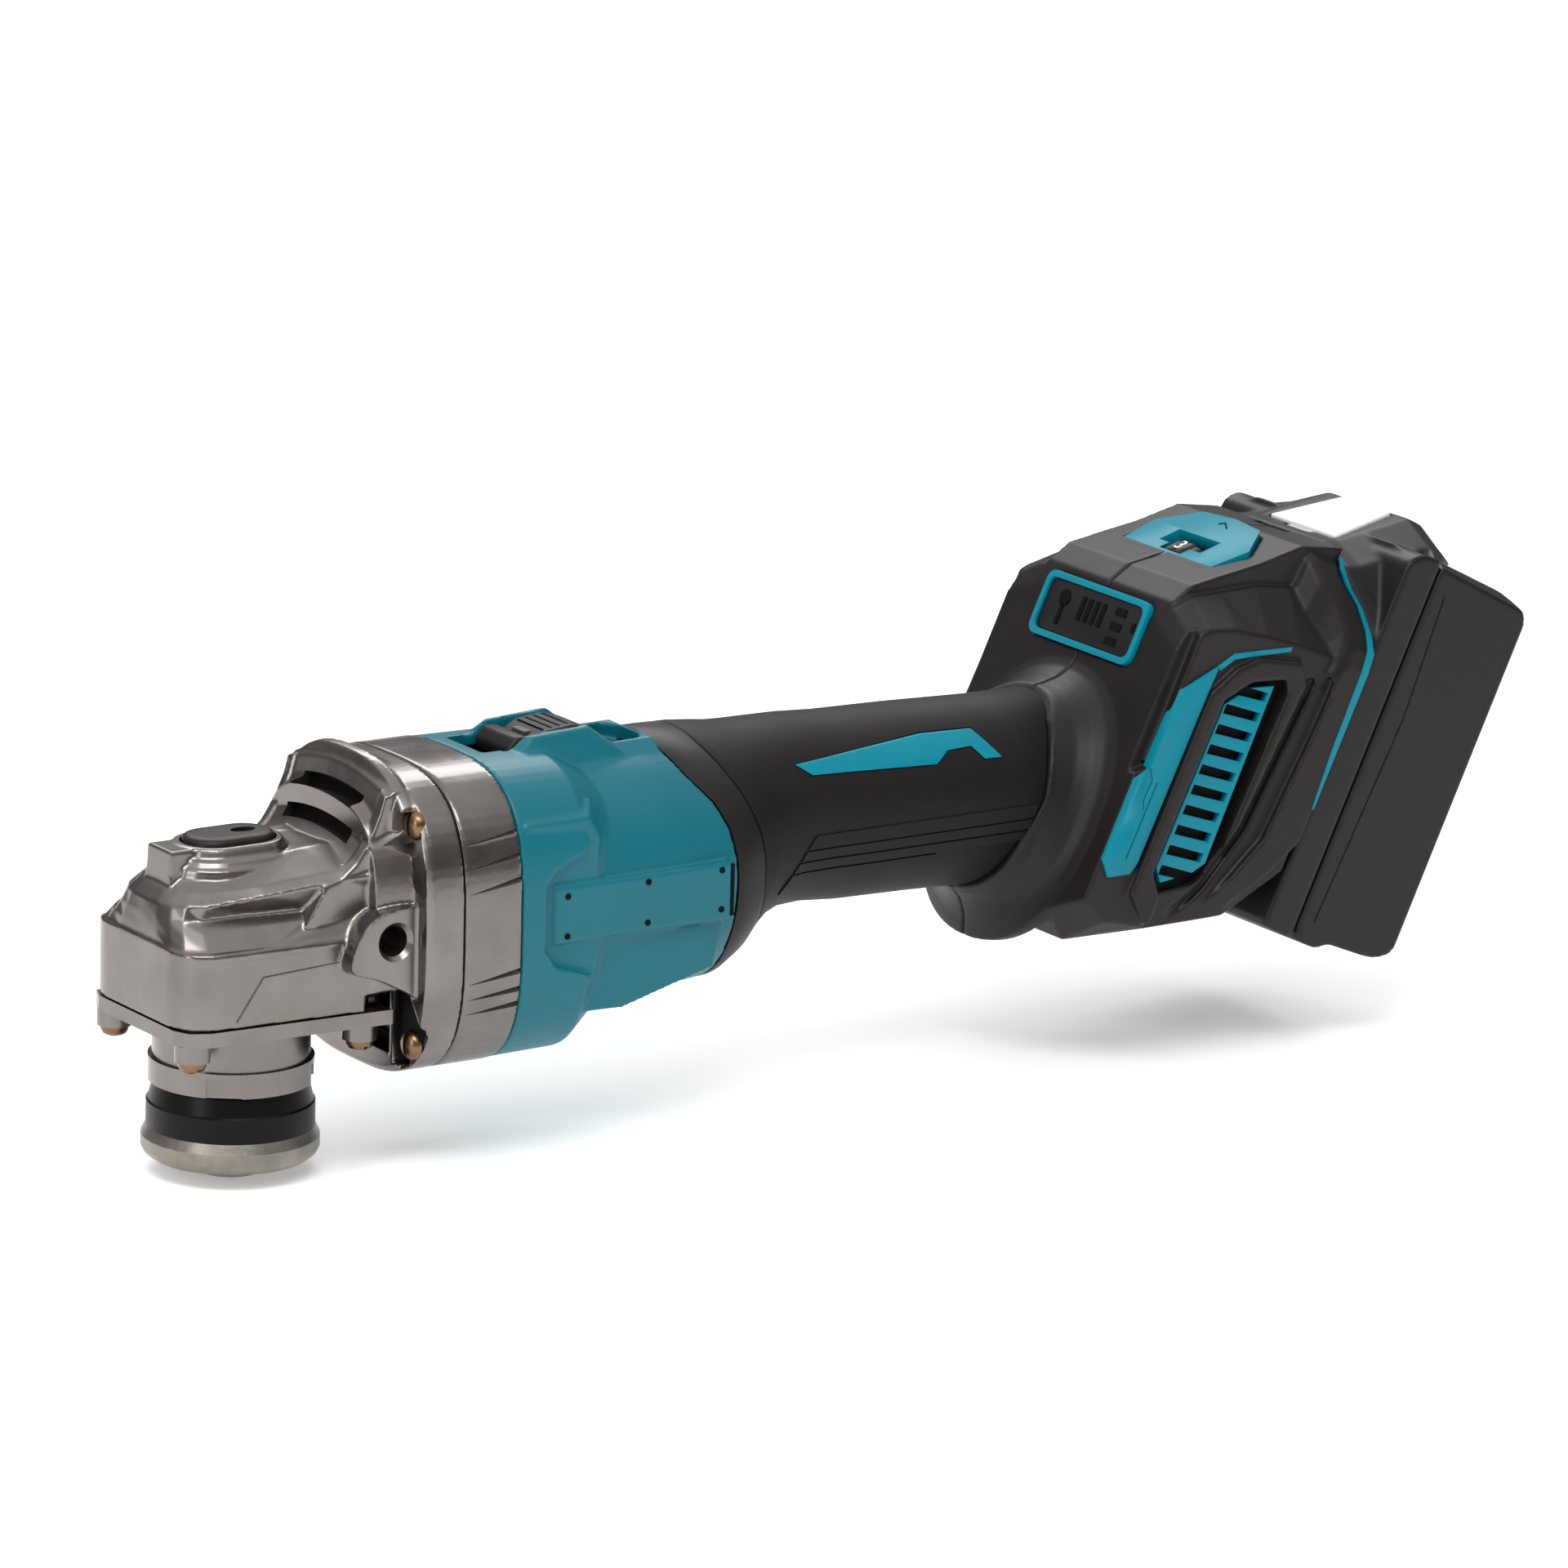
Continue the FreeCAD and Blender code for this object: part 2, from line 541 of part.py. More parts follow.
def fan():
    hub = turned_x([(51.0, 4.0), (61.0, 4.0), (61.0, 26.5), (59.6, 26.5), (57.0, 12.0), (51.0, 8.0)])
    blade = box(51.5, 60.0, -0.7, 0.7, MOTOR_Z + 7.0, MOTOR_Z + 26.0)
    return fuse([hub] + around_x(blade, 11))


def fan_baffle():
    return turned_x([(63.0, 18.0), (64.4, 18.0), (64.4, 28.6), (63.0, 28.6)])


def stator_core():
    back = turned_x([(67.0, 19.6), (90.0, 19.6), (90.0, 24.0), (67.0, 24.0)])
    teeth = around_x(box(67.0, 90.0, -3.0, 3.0, MOTOR_Z + 14.6, MOTOR_Z + 21.0), 6)
    shoes = around_x(box(67.0, 90.0, -5.5, 5.5, MOTOR_Z + 14.6, MOTOR_Z + 16.0), 6)
    air_gap = rod_x(66.0, 91.0, 0, MOTOR_Z, 14.0)
    return one_solid(fuse([back] + teeth + shoes).cut(air_gap))


def stator_windings():
    outside = box(64.8, 92.2, -5.1, 5.1, MOTOR_Z + 16.2, MOTOR_Z + 18.8)
    tooth_room = box(66.9, 90.1, -3.1, 3.1, MOTOR_Z + 15.0, MOTOR_Z + 20.0)
    return Part.makeCompound(around_x(outside.cut(tooth_room), 6))


def hall_board():
    board = turned_x([(93.5, 9.0), (95.0, 9.0), (95.0, 22.0), (93.5, 22.0)])
    chips = around_x(box(95.0, 96.2, -2.0, 2.0, MOTOR_Z + 12.0, MOTOR_Z + 15.0), 3, 30)
    return fuse([board] + chips)


def rear_bearing_sleeve():
    return turned_x([(98.5, 9.5), (104.5, 9.5), (104.5, 11.5), (98.5, 11.5)])


LEAD_OFFSETS = (-4.5, 0.0, 4.5)
LEAD_R = 1.2


def motor_leads():
    """Three phase leads from the motor, up into the neck and back to the controller."""
    route = ((96.6, 36.0), (110.0, 36.0), (127.0, 50.0), (220.0, 57.0))
    leads = []
    for y in LEAD_OFFSETS:
        points = [V(x, y, z) for x, z in route]
        edges = []
        start = points[0]
        for i in (1, 2):
            before = (points[i - 1] - points[i]).normalize()
            after = (points[i + 1] - points[i]).normalize()
            turn = math.pi - before.getAngle(after)
            radius = 9.0
            reach = radius * math.tan(turn / 2)
            a = points[i] + before * reach
            b = points[i] + after * reach
            inward = (before + after).normalize()
            middle = points[i] + inward * (radius / math.cos(turn / 2) - radius)
            edges += [Part.makeLine(start, a), arc(a, middle, b)]
            start = b
        edges.append(Part.makeLine(start, points[3]))
        ring = Part.Wire(Part.makeCircle(LEAD_R, points[0], X_AXIS))
        leads.append(Part.Wire(edges).makePipeShell([ring], True, False))
    return Part.makeCompound(leads)


# ---------------------------------------------------------------- motor housing
SWITCH_TRAVEL = 6.5


def motor_skin(inset):
    front = [square_wire(RING_REAR_X, inset), square_wire(72.0, inset + 0.4)]
    back = [round_wire(80.0, 57.6, 31.4 - inset), round_wire(MOTOR_REAR_X, 59.2, 29.6 - inset)]
    return Part.makeLoft(front + back, True, True)


def motor_housing():
    skin = motor_skin(0)
    inner = motor_skin(SHELL).fuse(square_block(RING_REAR_X - 1, RING_REAR_X + 3, SHELL))
    rails = prism_xz([(61.0, 84.0), (63.0, 89.6), (68.5, 93.4), (84.0, 94.2), (92.0, 88.5), (92.0, 84.0)],
                     8.2, 11.0)
    shell = fuse([skin] + both_sides(rails)).cut(inner)
    bosses = [rod_x(RING_REAR_X, 64.0, y, z, 4.6).common(skin) for y, z in flange_screw_spots()]
    rib = box(74.0, 91.0, -2.0, 2.0, MOTOR_Z + 24.0, MOTOR_Z + 34.0)
    ribs = [r.common(skin) for r in around_x(rib, 4, 45)]
    hub = rod_x(98.5, 107.0, 0, MOTOR_Z, 13.5)
    arm = box(98.5, 103.0, -2.5, 2.5, MOTOR_Z + 12.0, MOTOR_Z + 36.0)
    arms = [a.common(skin) for a in around_x(arm, 4, 45)]
    body = fuse([shell, hub] + bosses + ribs + arms)
    seat = rod_x(98.0, 104.5, 0, MOTOR_Z, 11.5)
    relief = rod_x(104.0, 106.0, 0, MOTOR_Z, 5.0)
    slot = box(66.0, 82.5, -3.3, 3.3, 80.0, 96.0)
    screws = [rod_x(54.0, 62.0, y, z, 2.0) for y, z in flange_screw_spots()]
    return one_solid(body.cut([seat, relief, slot, cut_line(BAND_FRONT, 140.0)] + screws))


def switch_knob():
    profile = [(66.8, 91.0), (66.8, 93.0), (69.0, 95.2), (78.0, 96.0), (85.0, 94.6), (91.0, 93.4), (91.6, 91.0)]
    knob = prism_xz(profile, -7.6, 7.6)
    ribs = [box(x, x + 0.7, -7.7, 7.7, 94.8, 96.5) for x in (71.0, 73.0, 75.0, 77.0)]
    return knob.cut(ribs + [box(73.4, 81.6, -2.8, 2.8, 90.0, 92.6)])


def switch_rod():
    bar = box(72.5, 158.0, -2.5, 2.5, 80.4, 82.0)
    stem = box(73.5, 81.5, -2.7, 2.7, 80.4, 92.5)
    tab = box(156.0, 158.0, -4.0, 4.0, 75.0, 82.0)
    return fuse([bar, stem, tab])


def switch_spring():
    return spring(V(146.0, 0, 77.4), X_AXIS, 10.0, 2.0, 0.28, 6)


def microswitch():
    case = box(160.0, 188.0, -8.0, 8.0, 58.0, 76.5)
    plunger = box(158.6, 160.0, -2.0, 2.0, 70.0, 74.0)
    tags = [box(188.0, 192.0, y - 0.4, y + 0.4, 64.0, 68.0) for y in (-5.0, 5.0)]
    return fuse([case, plunger] + tags)


# ---------------------------------------------------------------- collar band and grip
def collar_band():
    ring = grip_solid(0).cut(grip_solid(SKIN))
    return one_solid(ring.common(cut_line(BAND_FRONT, 150.0)).cut(cut_line(BAND_REAR, 150.0)))


def grip_sleeve():
    ring = grip_solid(0).cut(grip_solid(SKIN))
    body = ring.common(cut_line(BAND_REAR, 230.0)).cut(cut_line(SLEEVE_REAR, 240.0))
    return one_solid(body.cut(both_sides(inlay_prism())))


INLAY = ((137.5, 80.6), (187.5, 81.6), (193.2, 76.4), (188.0, 76.0), (185.6, 78.8), (179.5, 78.6),
         (175.5, 76.2), (141.5, 76.6))


def inlay_prism():
    return prism_xz(INLAY, 5.0, 30.0)


def grip_inlays():
    shallow = grip_solid(-0.3).cut(grip_solid(1.2))
    return Part.makeCompound([one_solid(shallow.common(side)) for side in both_sides(inlay_prism())])


# ---------------------------------------------------------------- rear housing (pack frame: v across, u along)
BLOCK = ((-39.3, -4.0), (-39.3, 60.0), (-37.0, 65.5), (-27.3, 71.0), (-9.0, 86.0), (-7.5, 85.5),
         (-0.5, 77.2), (12.0, 71.0), (12.0, 14.0), (0.0, -1.4), (-18.2, -12.8), (-33.0, -19.0))
BLOCK_INNER = ((-36.7, -3.0), (-36.7, 59.5), (-35.0, 63.5), (-26.3, 68.4), (-9.5, 82.0), (-2.6, 75.2),
               (9.4, 69.4), (9.4, 15.0), (-1.2, 2.0), (-18.6, -9.8), (-31.6, -15.4))
NECK_LINE = ((188.0, 64.3, 22.0), (196.0, 62.6, 24.0), (204.0, 62.0, 28.5), (214.0, 65.5, 32.0),
             (226.0, 68.0, 34.0))
HOUSING_SCREWS = ((-33.0, -8.0), (-33.0, 36.0), (-17.0, 60.0), (-12.0, 0.5))
DIAL_CENTRE = V(258.0, 0, 105.2)
DIAL_R = 11.0
PAD_SLOPE = 16.3
BUTTON_FRONT = (7.6, 90.7)
BUTTON_REAR = (25.3, 102.6)


def pack_prism(outline, y0, y1):
    return in_pack_frame(prism_xz(outline, y0, y1))


def pack_box(v0, v1, y0, y1, u0, u1):
    return in_pack_frame(box(v0, v1, y0, y1, u0, u1))


def housing_block():
    block = prism_xz(BLOCK, -HALF_WIDTH, HALF_WIDTH)
    rims = [edge for edge in block.Edges if abs(edge.CenterOfMass.y) > HALF_WIDTH - 0.1]
    low_rims = [edge for edge in rims if edge.CenterOfMass.z < 30 and edge.CenterOfMass.x < -5]
    return in_pack_frame(block.makeFillet(5.0, low_rims))


def neck_loft(inset):
    wires = [Part.Wire(Part.makeCircle(r - inset, V(x, 0, z), X_AXIS)) for x, z, r in NECK_LINE]
    return Part.makeLoft(wires, True, True)


def rail_channel():
    wide = box(4.4, 9.0, -24.6, 24.6, 3.0, 95.0)
    narrow = box(8.8, 14.0, -20.6, 20.6, 3.0, 95.0)
    latch_way = box(-0.5, 5.0, -6.5, 6.5, 62.0, 95.0)
    return in_pack_frame(fuse([wide, narrow, latch_way]))


def screw_bosses():
    return [in_pack_frame(rod_y(v, -36.0, 36.0, u, 3.2)) for v, u in HOUSING_SCREWS]


def screw_holes():
    holes = []
    for v, u in HOUSING_SCREWS:
        holes.append(in_pack_frame(rod_y(v, -20.0, 40.0, u, 1.5)))
        holes.append(in_pack_frame(rod_y(v, 34.0, 40.0, u, 3.0)))
    return holes


SIDE_PAD = ((-27.5, -4.0), (-27.5, 44.0), (-24.0, 55.0), (-20.0, 58.0), (2.0, 60.0), (4.0, 52.0), (4.0, 20.0),
            (-4.0, 4.0), (-12.0, -5.0))
GRILLE = ((-23.8, 3.9), (-23.1, 46.7), (-17.9, 51.9), (-11.6, 54.2), (-11.0, 9.0), (-13.7, 5.7), (-21.1, 1.0))
TRIM = ((-39.0, 1.0), (-39.2, 21.0), (-36.1, 24.2), (-35.9, 43.9), (-28.5, 52.0), (-25.4, 56.2), (-10.5, 62.8),
        (-10.4, 61.8), (-24.8, 55.0), (-27.6, 51.2), (-29.4, 49.0), (-29.3, 3.2), (-30.2, 0.2), (-35.8, -2.4))
REAR_STRIPE = ((12.0, 29.0), (12.0, 71.0), (-0.5, 77.2), (-7.5, 85.5), (-8.9, 84.6), (-1.4, 75.9), (10.6, 69.8),
               (10.6, 33.0))


def housing_body():
    """Both halves as one hollow body, before they are parted."""
    side_pads = [pack_prism(SIDE_PAD, HALF_WIDTH - 3, HALF_WIDTH + 1.4)]
    side_pads.append(pack_prism(SIDE_PAD, -HALF_WIDTH - 1.4, -HALF_WIDTH + 3))
    outer = fuse([housing_block(), neck_loft(0)] + side_pads)
    sleeve_side = cut_line(SLEEVE_REAR, 100.0)
    outer = outer.cut(sleeve_side)
    block_room = pack_prism(BLOCK_INNER, -HALF_WIDTH + SHELL, HALF_WIDTH - SHELL)
    neck_room = neck_loft(SHELL).common(box(180, 222, -40, 40, 0, 120))
    trough = pack_box(1.9, 12.0, -27.2, 27.2, 40.0, 80.0).common(outer)
    trough = trough.fuse(pack_box(1.9, 12.0, -27.2, 27.2, 0.5, 40.0))
    shell = outer.cut([block_room, neck_room])
    neck = grip_solid(SKIN).cut(grip_solid(2 * SKIN))
    neck = neck.cut(cut_line([(119.0, 95.0), (129.5, 20.0)], 60.0)).common(box(110, 206, -40, 40, 0, 120))
    rib = box(143.0, 145.9, -21.0, 21.0, 74.0, 79.8).common(grip_solid(SKIN + 0.5))
    web = box(198.0, 200.0, -40.0, 40.0, 30.0, 100.0).common(neck_loft(1.0))
    web = web.cut([grip_solid(SKIN), sleeve_side])
    return fuse([shell, trough, neck, rib, web] + screw_bosses())


def dial_seat():
    """Room for the dial and its recess under the pad."""
    room = Part.makeCylinder(DIAL_R + 0.6, 6.4, V(-3.2, 0, 0), X_AXIS)
    room.rotate(V(0, 0, 0), Y_AXIS, -PAD_SLOPE)
    room.translate(DIAL_CENTRE)
    return room


def housing_half(side):
    """side is -1 for the left half (-Y) and +1 for the right half (+Y)."""
    body = housing_body()
    half = box(100, 320, 0, 60, 0, 160) if side > 0 else box(100, 320, -60, 0, 0, 160)
    cuts = [rail_channel(), dial_seat(), pad_solid(), status_bezel(), status_panel()]
    cuts += screw_holes()
    cuts += [pack_prism(GRILLE, -60.0, -30.0), pack_prism(GRILLE, 30.0, 60.0)]
    cuts += [pack_prism(TRIM, HALF_WIDTH - 1.0, 60.0), pack_prism(TRIM, -60.0, -HALF_WIDTH + 1.0)]
    cuts += [pack_prism(REAR_STRIPE, HALF_WIDTH - 1.0, 60.0), pack_prism(REAR_STRIPE, -60.0, -HALF_WIDTH + 1.0)]
    return one_solid(body.common(half).cut(cuts))


def handle_screws():
    screws = []
    for v, u in HOUSING_SCREWS:
        head = rod_y(v, 34.0, 36.4, u, 2.9)
        socket = rod_y(v, 35.0, 37.0, u, 1.2)
        shank = rod_y(v, -19.0, 34.0, u, 1.5)
        screws.append(in_pack_frame(head.fuse(shank).cut(socket).removeSplitter()))
    return Part.makeCompound(screws)


PAD_OUTLINE = ((248.0, -18.0), (248.0, 18.0), (261.6, 18.0), (269.6, 11.2), (271.0, 0.0), (269.6, -11.2),
               (261.6, -18.0))


def pad_solid():
    """Sloping plate on top that carries the speed dial."""
    slope = math.tan(math.radians(PAD_SLOPE))
    top = [V(x, y, 113.6 + (x - 248.0) * slope) for x, y in PAD_OUTLINE]
    return polygon_face(top).extrude(V(0, 0, -3.6))


def dial_pad():
    window = Part.makeBox(6.2, 16.5, 12.0, V(-3.1, -8.25, -6.0))
    window.rotate(V(0, 0, 0), Y_AXIS, -PAD_SLOPE)
    window.translate(V(257.0, 0, 114.0))
    return one_solid(pad_solid().cut([window, dial_seat()]))


def speed_dial():
    wheel = Part.makeCylinder(DIAL_R, 5.4, V(-2.7, 0, 0), X_AXIS)
    notches = []
    for i in range(30):
        notch = Part.makeCylinder(0.45, 8.0, V(-4.0, DIAL_R + 0.15, 0), X_AXIS)
        notch.rotate(V(0, 0, 0), X_AXIS, 12.0 * i)
        notches.append(notch)
    bore = Part.makeCylinder(2.0, 8.0, V(-4.0, 0, 0), X_AXIS)
    wheel = wheel.cut([bore] + notches)
    wheel.rotate(V(0, 0, 0), Y_AXIS, -PAD_SLOPE)
    wheel.translate(DIAL_CENTRE)
    return wheel


def status_bezel():
    frame = box(-40.9, -38.5, -21.0, 21.0, 42.0, 58.0)
    posts = [edge for edge in frame.Edges if abs(edge.tangentAt(0).x) > 0.9]
    frame = frame.makeFillet(2.5, posts)
    window = box(-42.0, -37.0, -19.0, 19.0, 44.0, 56.0)
    return in_pack_frame(frame.cut(window))


def status_panel():
    plate = box(-40.3, -38.5, -19.0, 19.0, 44.0, 56.0)
    lamps = [box(-41.0, -39.9, y, y + 1.2, 48.0, 52.5) for y in (-3.8, -1.4, 1.0, 3.4)]
    keys = [box(-41.0, -39.9, -11.5, -8.0, u, u + 2.0) for u in (45.6, 49.0, 52.4)]
    return in_pack_frame(plate.cut(lamps + keys))


def vent_grilles():
    plate = prism_xz(GRILLE, HALF_WIDTH - 1.6, HALF_WIDTH + 0.9)
    rim = prism_xz(GRILLE, HALF_WIDTH - 2, HALF_WIDTH + 2).makeOffsetShape(-1.0, 0.01)
    slots = [prism_xz([(-23.0, u), (-12.4, u + 2.2), (-12.4, u + 4.9), (-23.0, u + 2.7)], 30.0, 45.0)
             for u in (4.6, 9.6, 14.6, 19.6, 24.6, 29.6, 34.6, 39.6, 44.2)]
    openings = [slot.common(rim) for slot in slots]
    grille = one_solid(plate.cut(openings))
    return Part.makeCompound([in_pack_frame(side) for side in both_sides(grille)])


def side_trims():
    blade = prism_xz(TRIM, HALF_WIDTH - 1.0, HALF_WIDTH + 0.5)
    return Part.makeCompound([in_pack_frame(side) for side in both_sides(blade)])


def rear_trims():
    stripe = prism_xz(REAR_STRIPE, HALF_WIDTH - 1.0, HALF_WIDTH + 0.3)
    return Part.makeCompound([in_pack_frame(side) for side in both_sides(stripe)])


def controller_module():
    board = box(-28.0, -3.0, -24.0, 24.0, 8.0, 42.0)
    fins = [box(-29.0, -20.0, y, y + 2.0, 7.0, 43.0) for y in range(-20, 20, 6)]
    return in_pack_frame(board.cut(fins))


def terminal_block():
    base = box(4.6, 8.6, -14.0, 14.0, 3.2, 8.6)
    blades = [box(5.4, 8.2, y - 0.4, y + 0.4, 8.6, 18.0) for y in CONTACT_YS]
    return in_pack_frame(fuse([base] + blades))


# ---------------------------------------------------------------- battery pack (pack frame)
HUMP = ((12.5, 71.4), (0.6, 77.8), (-5.6, 85.6), (-2.5, 87.5), BUTTON_FRONT, BUTTON_REAR, (29.5, 102.6),
        (33.0, 98.0), (34.0, 93.0), (34.0, 71.4))
LOWER_CASE = ((22.0, 0.4), (30.0, 0.4), (32.5, 2.6), (47.0, 3.4), (50.4, 5.6), (52.0, 9.4), (52.0, 88.5),
              (50.6, 92.0), (46.5, 94.6), (22.0, 95.3))
LOWER_ROOM = ((22.0, 2.4), (29.2, 2.4), (31.6, 4.4), (46.8, 5.0), (49.6, 6.8), (50.5, 10.0), (50.5, 88.2),
              (49.4, 91.2), (46.0, 93.2), (22.0, 93.4))
CELL_R = 8.8
CELL_LENGTH = 65.0
CELL_PITCH = 17.65
CELL_LAYERS = ((23.0, 11.9), (41.3, 13.7))      # v of each layer and u of its lowest cell
BUTTON_TRAVEL = 4.0


def press_direction():
    """Inward normal of the button's face, in the pack frame."""
    along = V(BUTTON_REAR[0] - BUTTON_FRONT[0], 0, BUTTON_REAR[1] - BUTTON_FRONT[1]).normalize()
    return V(along.z, 0, -along.x)


def button_plug(gap, depth):
    """Trapezoid prism from the button's face inwards."""
    along = V(BUTTON_REAR[0] - BUTTON_FRONT[0], 0, BUTTON_REAR[1] - BUTTON_FRONT[1])
    front = V(BUTTON_FRONT[0], 0, BUTTON_FRONT[1]) + along * 0.06
    rear = V(BUTTON_REAR[0], 0, BUTTON_REAR[1]) - along * 0.06
    step = V(along).normalize() * gap
    corners = [front - step + V(0, -13.0 - gap, 0), rear + step + V(0, -9.6 - gap, 0),
               rear + step + V(0, 9.6 + gap, 0), front - step + V(0, 13.0 + gap, 0)]
    lift = press_direction() * (-0.3 - 8 * gap)
    return polygon_face([c + lift for c in corners]).extrude(press_direction() * (depth + 8 * gap))


def battery_upper_case():
    plate = box(12.3, 22.0, -PACK_HALF_WIDTH, PACK_HALF_WIDTH, 0.4, 95.3)
    rail_neck = box(8.5, 13.0, -20.3, 20.3, 5.0, 88.0)
    rail_lips = box(4.8, 8.5, -24.3, 24.3, 5.0, 80.0)
    hump = prism_xz(HUMP, -28.0, 28.0)
    body = fuse([plate, rail_neck, rail_lips, hump])
    slope = [(14.5, 106.0), (29.0, 106.0), (29.0, 93.0)]
    for side in (-1, 1):
        wedge = polygon_face([V(-10, side * y, u) for y, u in slope]).extrude(V(60, 0, 0))
        body = body.cut(wedge)
    room = box(14.0, 23.0, -PACK_HALF_WIDTH + 2, PACK_HALF_WIDTH - 2, 2.4, 93.4)
    rail_room = box(7.0, 15.0, -17.5, 17.5, 24.0, 76.0)
    hump_room = prism_xz([(15.0, 76.0), (10.0, 84.0), (12.0, 89.0), (25.0, 97.5), (30.0, 97.5), (31.0, 93.0),
                          (31.0, 76.0)], -22.0, 22.0)
    below = box(22.0, 40.0, -PACK_HALF_WIDTH, PACK_HALF_WIDTH, 0.0, 95.3)
    terminal_room = box(4.0, 9.2, -14.8, 14.8, 0.0, 9.2)
    blade_slots = [box(4.0, 8.6, y - 1.5, y + 1.5, 9.0, 25.0) for y in CONTACT_YS]
    hook_way = box(4.0, 14.0, -5.4, 5.4, 64.0, 80.0)
    spring_seat = box(6.5, 13.5, -6.0, 6.0, 62.6, 64.0)
    arm_way = box(7.0, 14.6, -5.4, 5.4, 70.0, 92.0)
    tools = [room, rail_room, hump_room, below, terminal_room, hook_way, arm_way]
    body = body.cut(tools + blade_slots).fuse(spring_seat)
    return in_pack_frame(one_solid(body.cut(button_plug(0.3, 7.0))))


def battery_lower_case():
    shell = prism_xz(LOWER_CASE, -PACK_HALF_WIDTH, PACK_HALF_WIDTH)
    rims = [edge for edge in shell.Edges if abs(edge.CenterOfMass.y) > PACK_HALF_WIDTH - 0.1
            and edge.CenterOfMass.x > 51.0 and edge.Length > 50]
    shell = shell.makeFillet(4.0, rims)
    room = prism_xz(LOWER_ROOM, -PACK_HALF_WIDTH + 2, PACK_HALF_WIDTH - 2)
    return in_pack_frame(one_solid(shell.cut([room, button_plug(0.3, 7.0)])))


def battery_cells():
    cells = []
    for v, first_u in CELL_LAYERS:
        for i in range(5):
            can = rod_y(v, -CELL_LENGTH / 2, CELL_LENGTH / 2, first_u + CELL_PITCH * i, CELL_R)
            cells.append(in_pack_frame(can))
    return Part.makeCompound(cells)


CONTACT_YS = (-9.0, 0.0, 9.0)


def battery_board():
    """Board behind the rails with a pair of spring leaves for each of the tool's blades."""
    board = box(9.0, 10.6, -16.0, 16.0, 26.0, 60.0)
    leaves = []
    for y in CONTACT_YS:
        for side in (-1, 1):
            near, far = sorted((y + side * 0.45, y + side * 1.15))
            leaves.append(box(5.2, 8.2, near, far, 10.0, 25.0))
            leaves.append(box(7.2, 9.0, near, far, 24.5, 34.0))
    return in_pack_frame(fuse([board] + leaves))


def battery_release_button():
    plug = button_plug(0.0, 2.3)
    arm = box(8.2, 11.0, -5.0, 5.0, 70.5, 91.0)
    hook = box(2.6, 11.0, -5.0, 5.0, 70.5, 74.5)
    return in_pack_frame(one_solid(fuse([plug, arm, hook])))


def latch_spring():
    return in_pack_frame(spring(V(8.5, 0, 64.05), Z_AXIS, 6.4, 1.9, 0.28, 4.5))


PARTS = {
    "spindle": spindle,
    "ring_gear": ring_gear,
    "spindle_circlip": spindle_circlip,
    "inner_flange": inner_flange,
    "lock_nut": lock_nut,
    "dust_seal": dust_seal,
    "bearing_box": bearing_box,
    "bearing_box_screws": bearing_box_screws,
    "gear_housing": gear_housing,
    "gear_housing_screws": gear_housing_screws,
    "needle_bush": needle_bush,
    "shaft_lock_cap": shaft_lock_cap,
    "shaft_lock_pin": shaft_lock_pin,
    "shaft_lock_spring": shaft_lock_spring,
    "pinion": pinion,
    "rotor_shaft": rotor_shaft,
    "rotor_core": rotor_core,
    "fan": fan,
    "fan_baffle": fan_baffle,
    "bearing_carrier": bearing_carrier,
    "stator_core": stator_core,
    "stator_windings": stator_windings,
    "hall_board": hall_board,
    "rear_bearing_sleeve": rear_bearing_sleeve,
    "motor_leads": motor_leads,
    "motor_housing": motor_housing,
    "switch_knob": switch_knob,
    "switch_rod": switch_rod,
    "switch_spring": switch_spring,
    "microswitch": microswitch,
    "collar_band": collar_band,
    "grip_sleeve": grip_sleeve,
    "grip_inlays": grip_inlays,
    "handle_left": lambda: housing_half(-1),
    "handle_right": lambda: housing_half(1),
    "handle_screws": handle_screws,
    "dial_pad": dial_pad,
    "speed_dial": speed_dial,
    "status_bezel": status_bezel,
    "status_panel": status_panel,
    "vent_grilles": vent_grilles,
    "side_trims": side_trims,
    "rear_trims": rear_trims,
    "controller_module": controller_module,
    "terminal_block": terminal_block,
    "battery_upper_case": battery_upper_case,
    "battery_lower_case": battery_lower_case,
    "battery_cells": battery_cells,
    "battery_board": battery_board,
    "battery_release_button": battery_release_button,
    "latch_spring": latch_spring,
}


def export_bearings():
    """The spindle bearing and the two rotor bearings, ring by ring."""
    outer, inner, balls = ball_bearing(0.0, 10.0, 6.0, 16.0, 8)
    export("spindle_bearing_outer", upright(outer, 28.5))
    export("spindle_bearing_inner", upright(inner, 28.5))
    export("spindle_bearing_balls", Part.makeCompound([upright(ball, 28.5) for ball in balls]))
    front_outer, front_inner, front_balls = ball_bearing(42.0, 7.0, 4.0, 11.0, 7)
    rear_outer, rear_inner, rear_balls = ball_bearing(98.5, 6.0, 3.5, 9.5, 7)
    export("front_bearing_outer", front_outer)
    export("front_bearing_inner", front_inner)
    export("rear_bearing_outer", rear_outer)
    export("rear_bearing_inner", rear_inner)
    export("rotor_bearing_balls", Part.makeCompound(front_balls + rear_balls))


os.makedirs("parts", exist_ok=True)
for node_name, build in PARTS.items():
    export(node_name, build())
export_bearings()
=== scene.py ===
import math

import bmesh
import bpy
from mathutils import Matrix, Vector


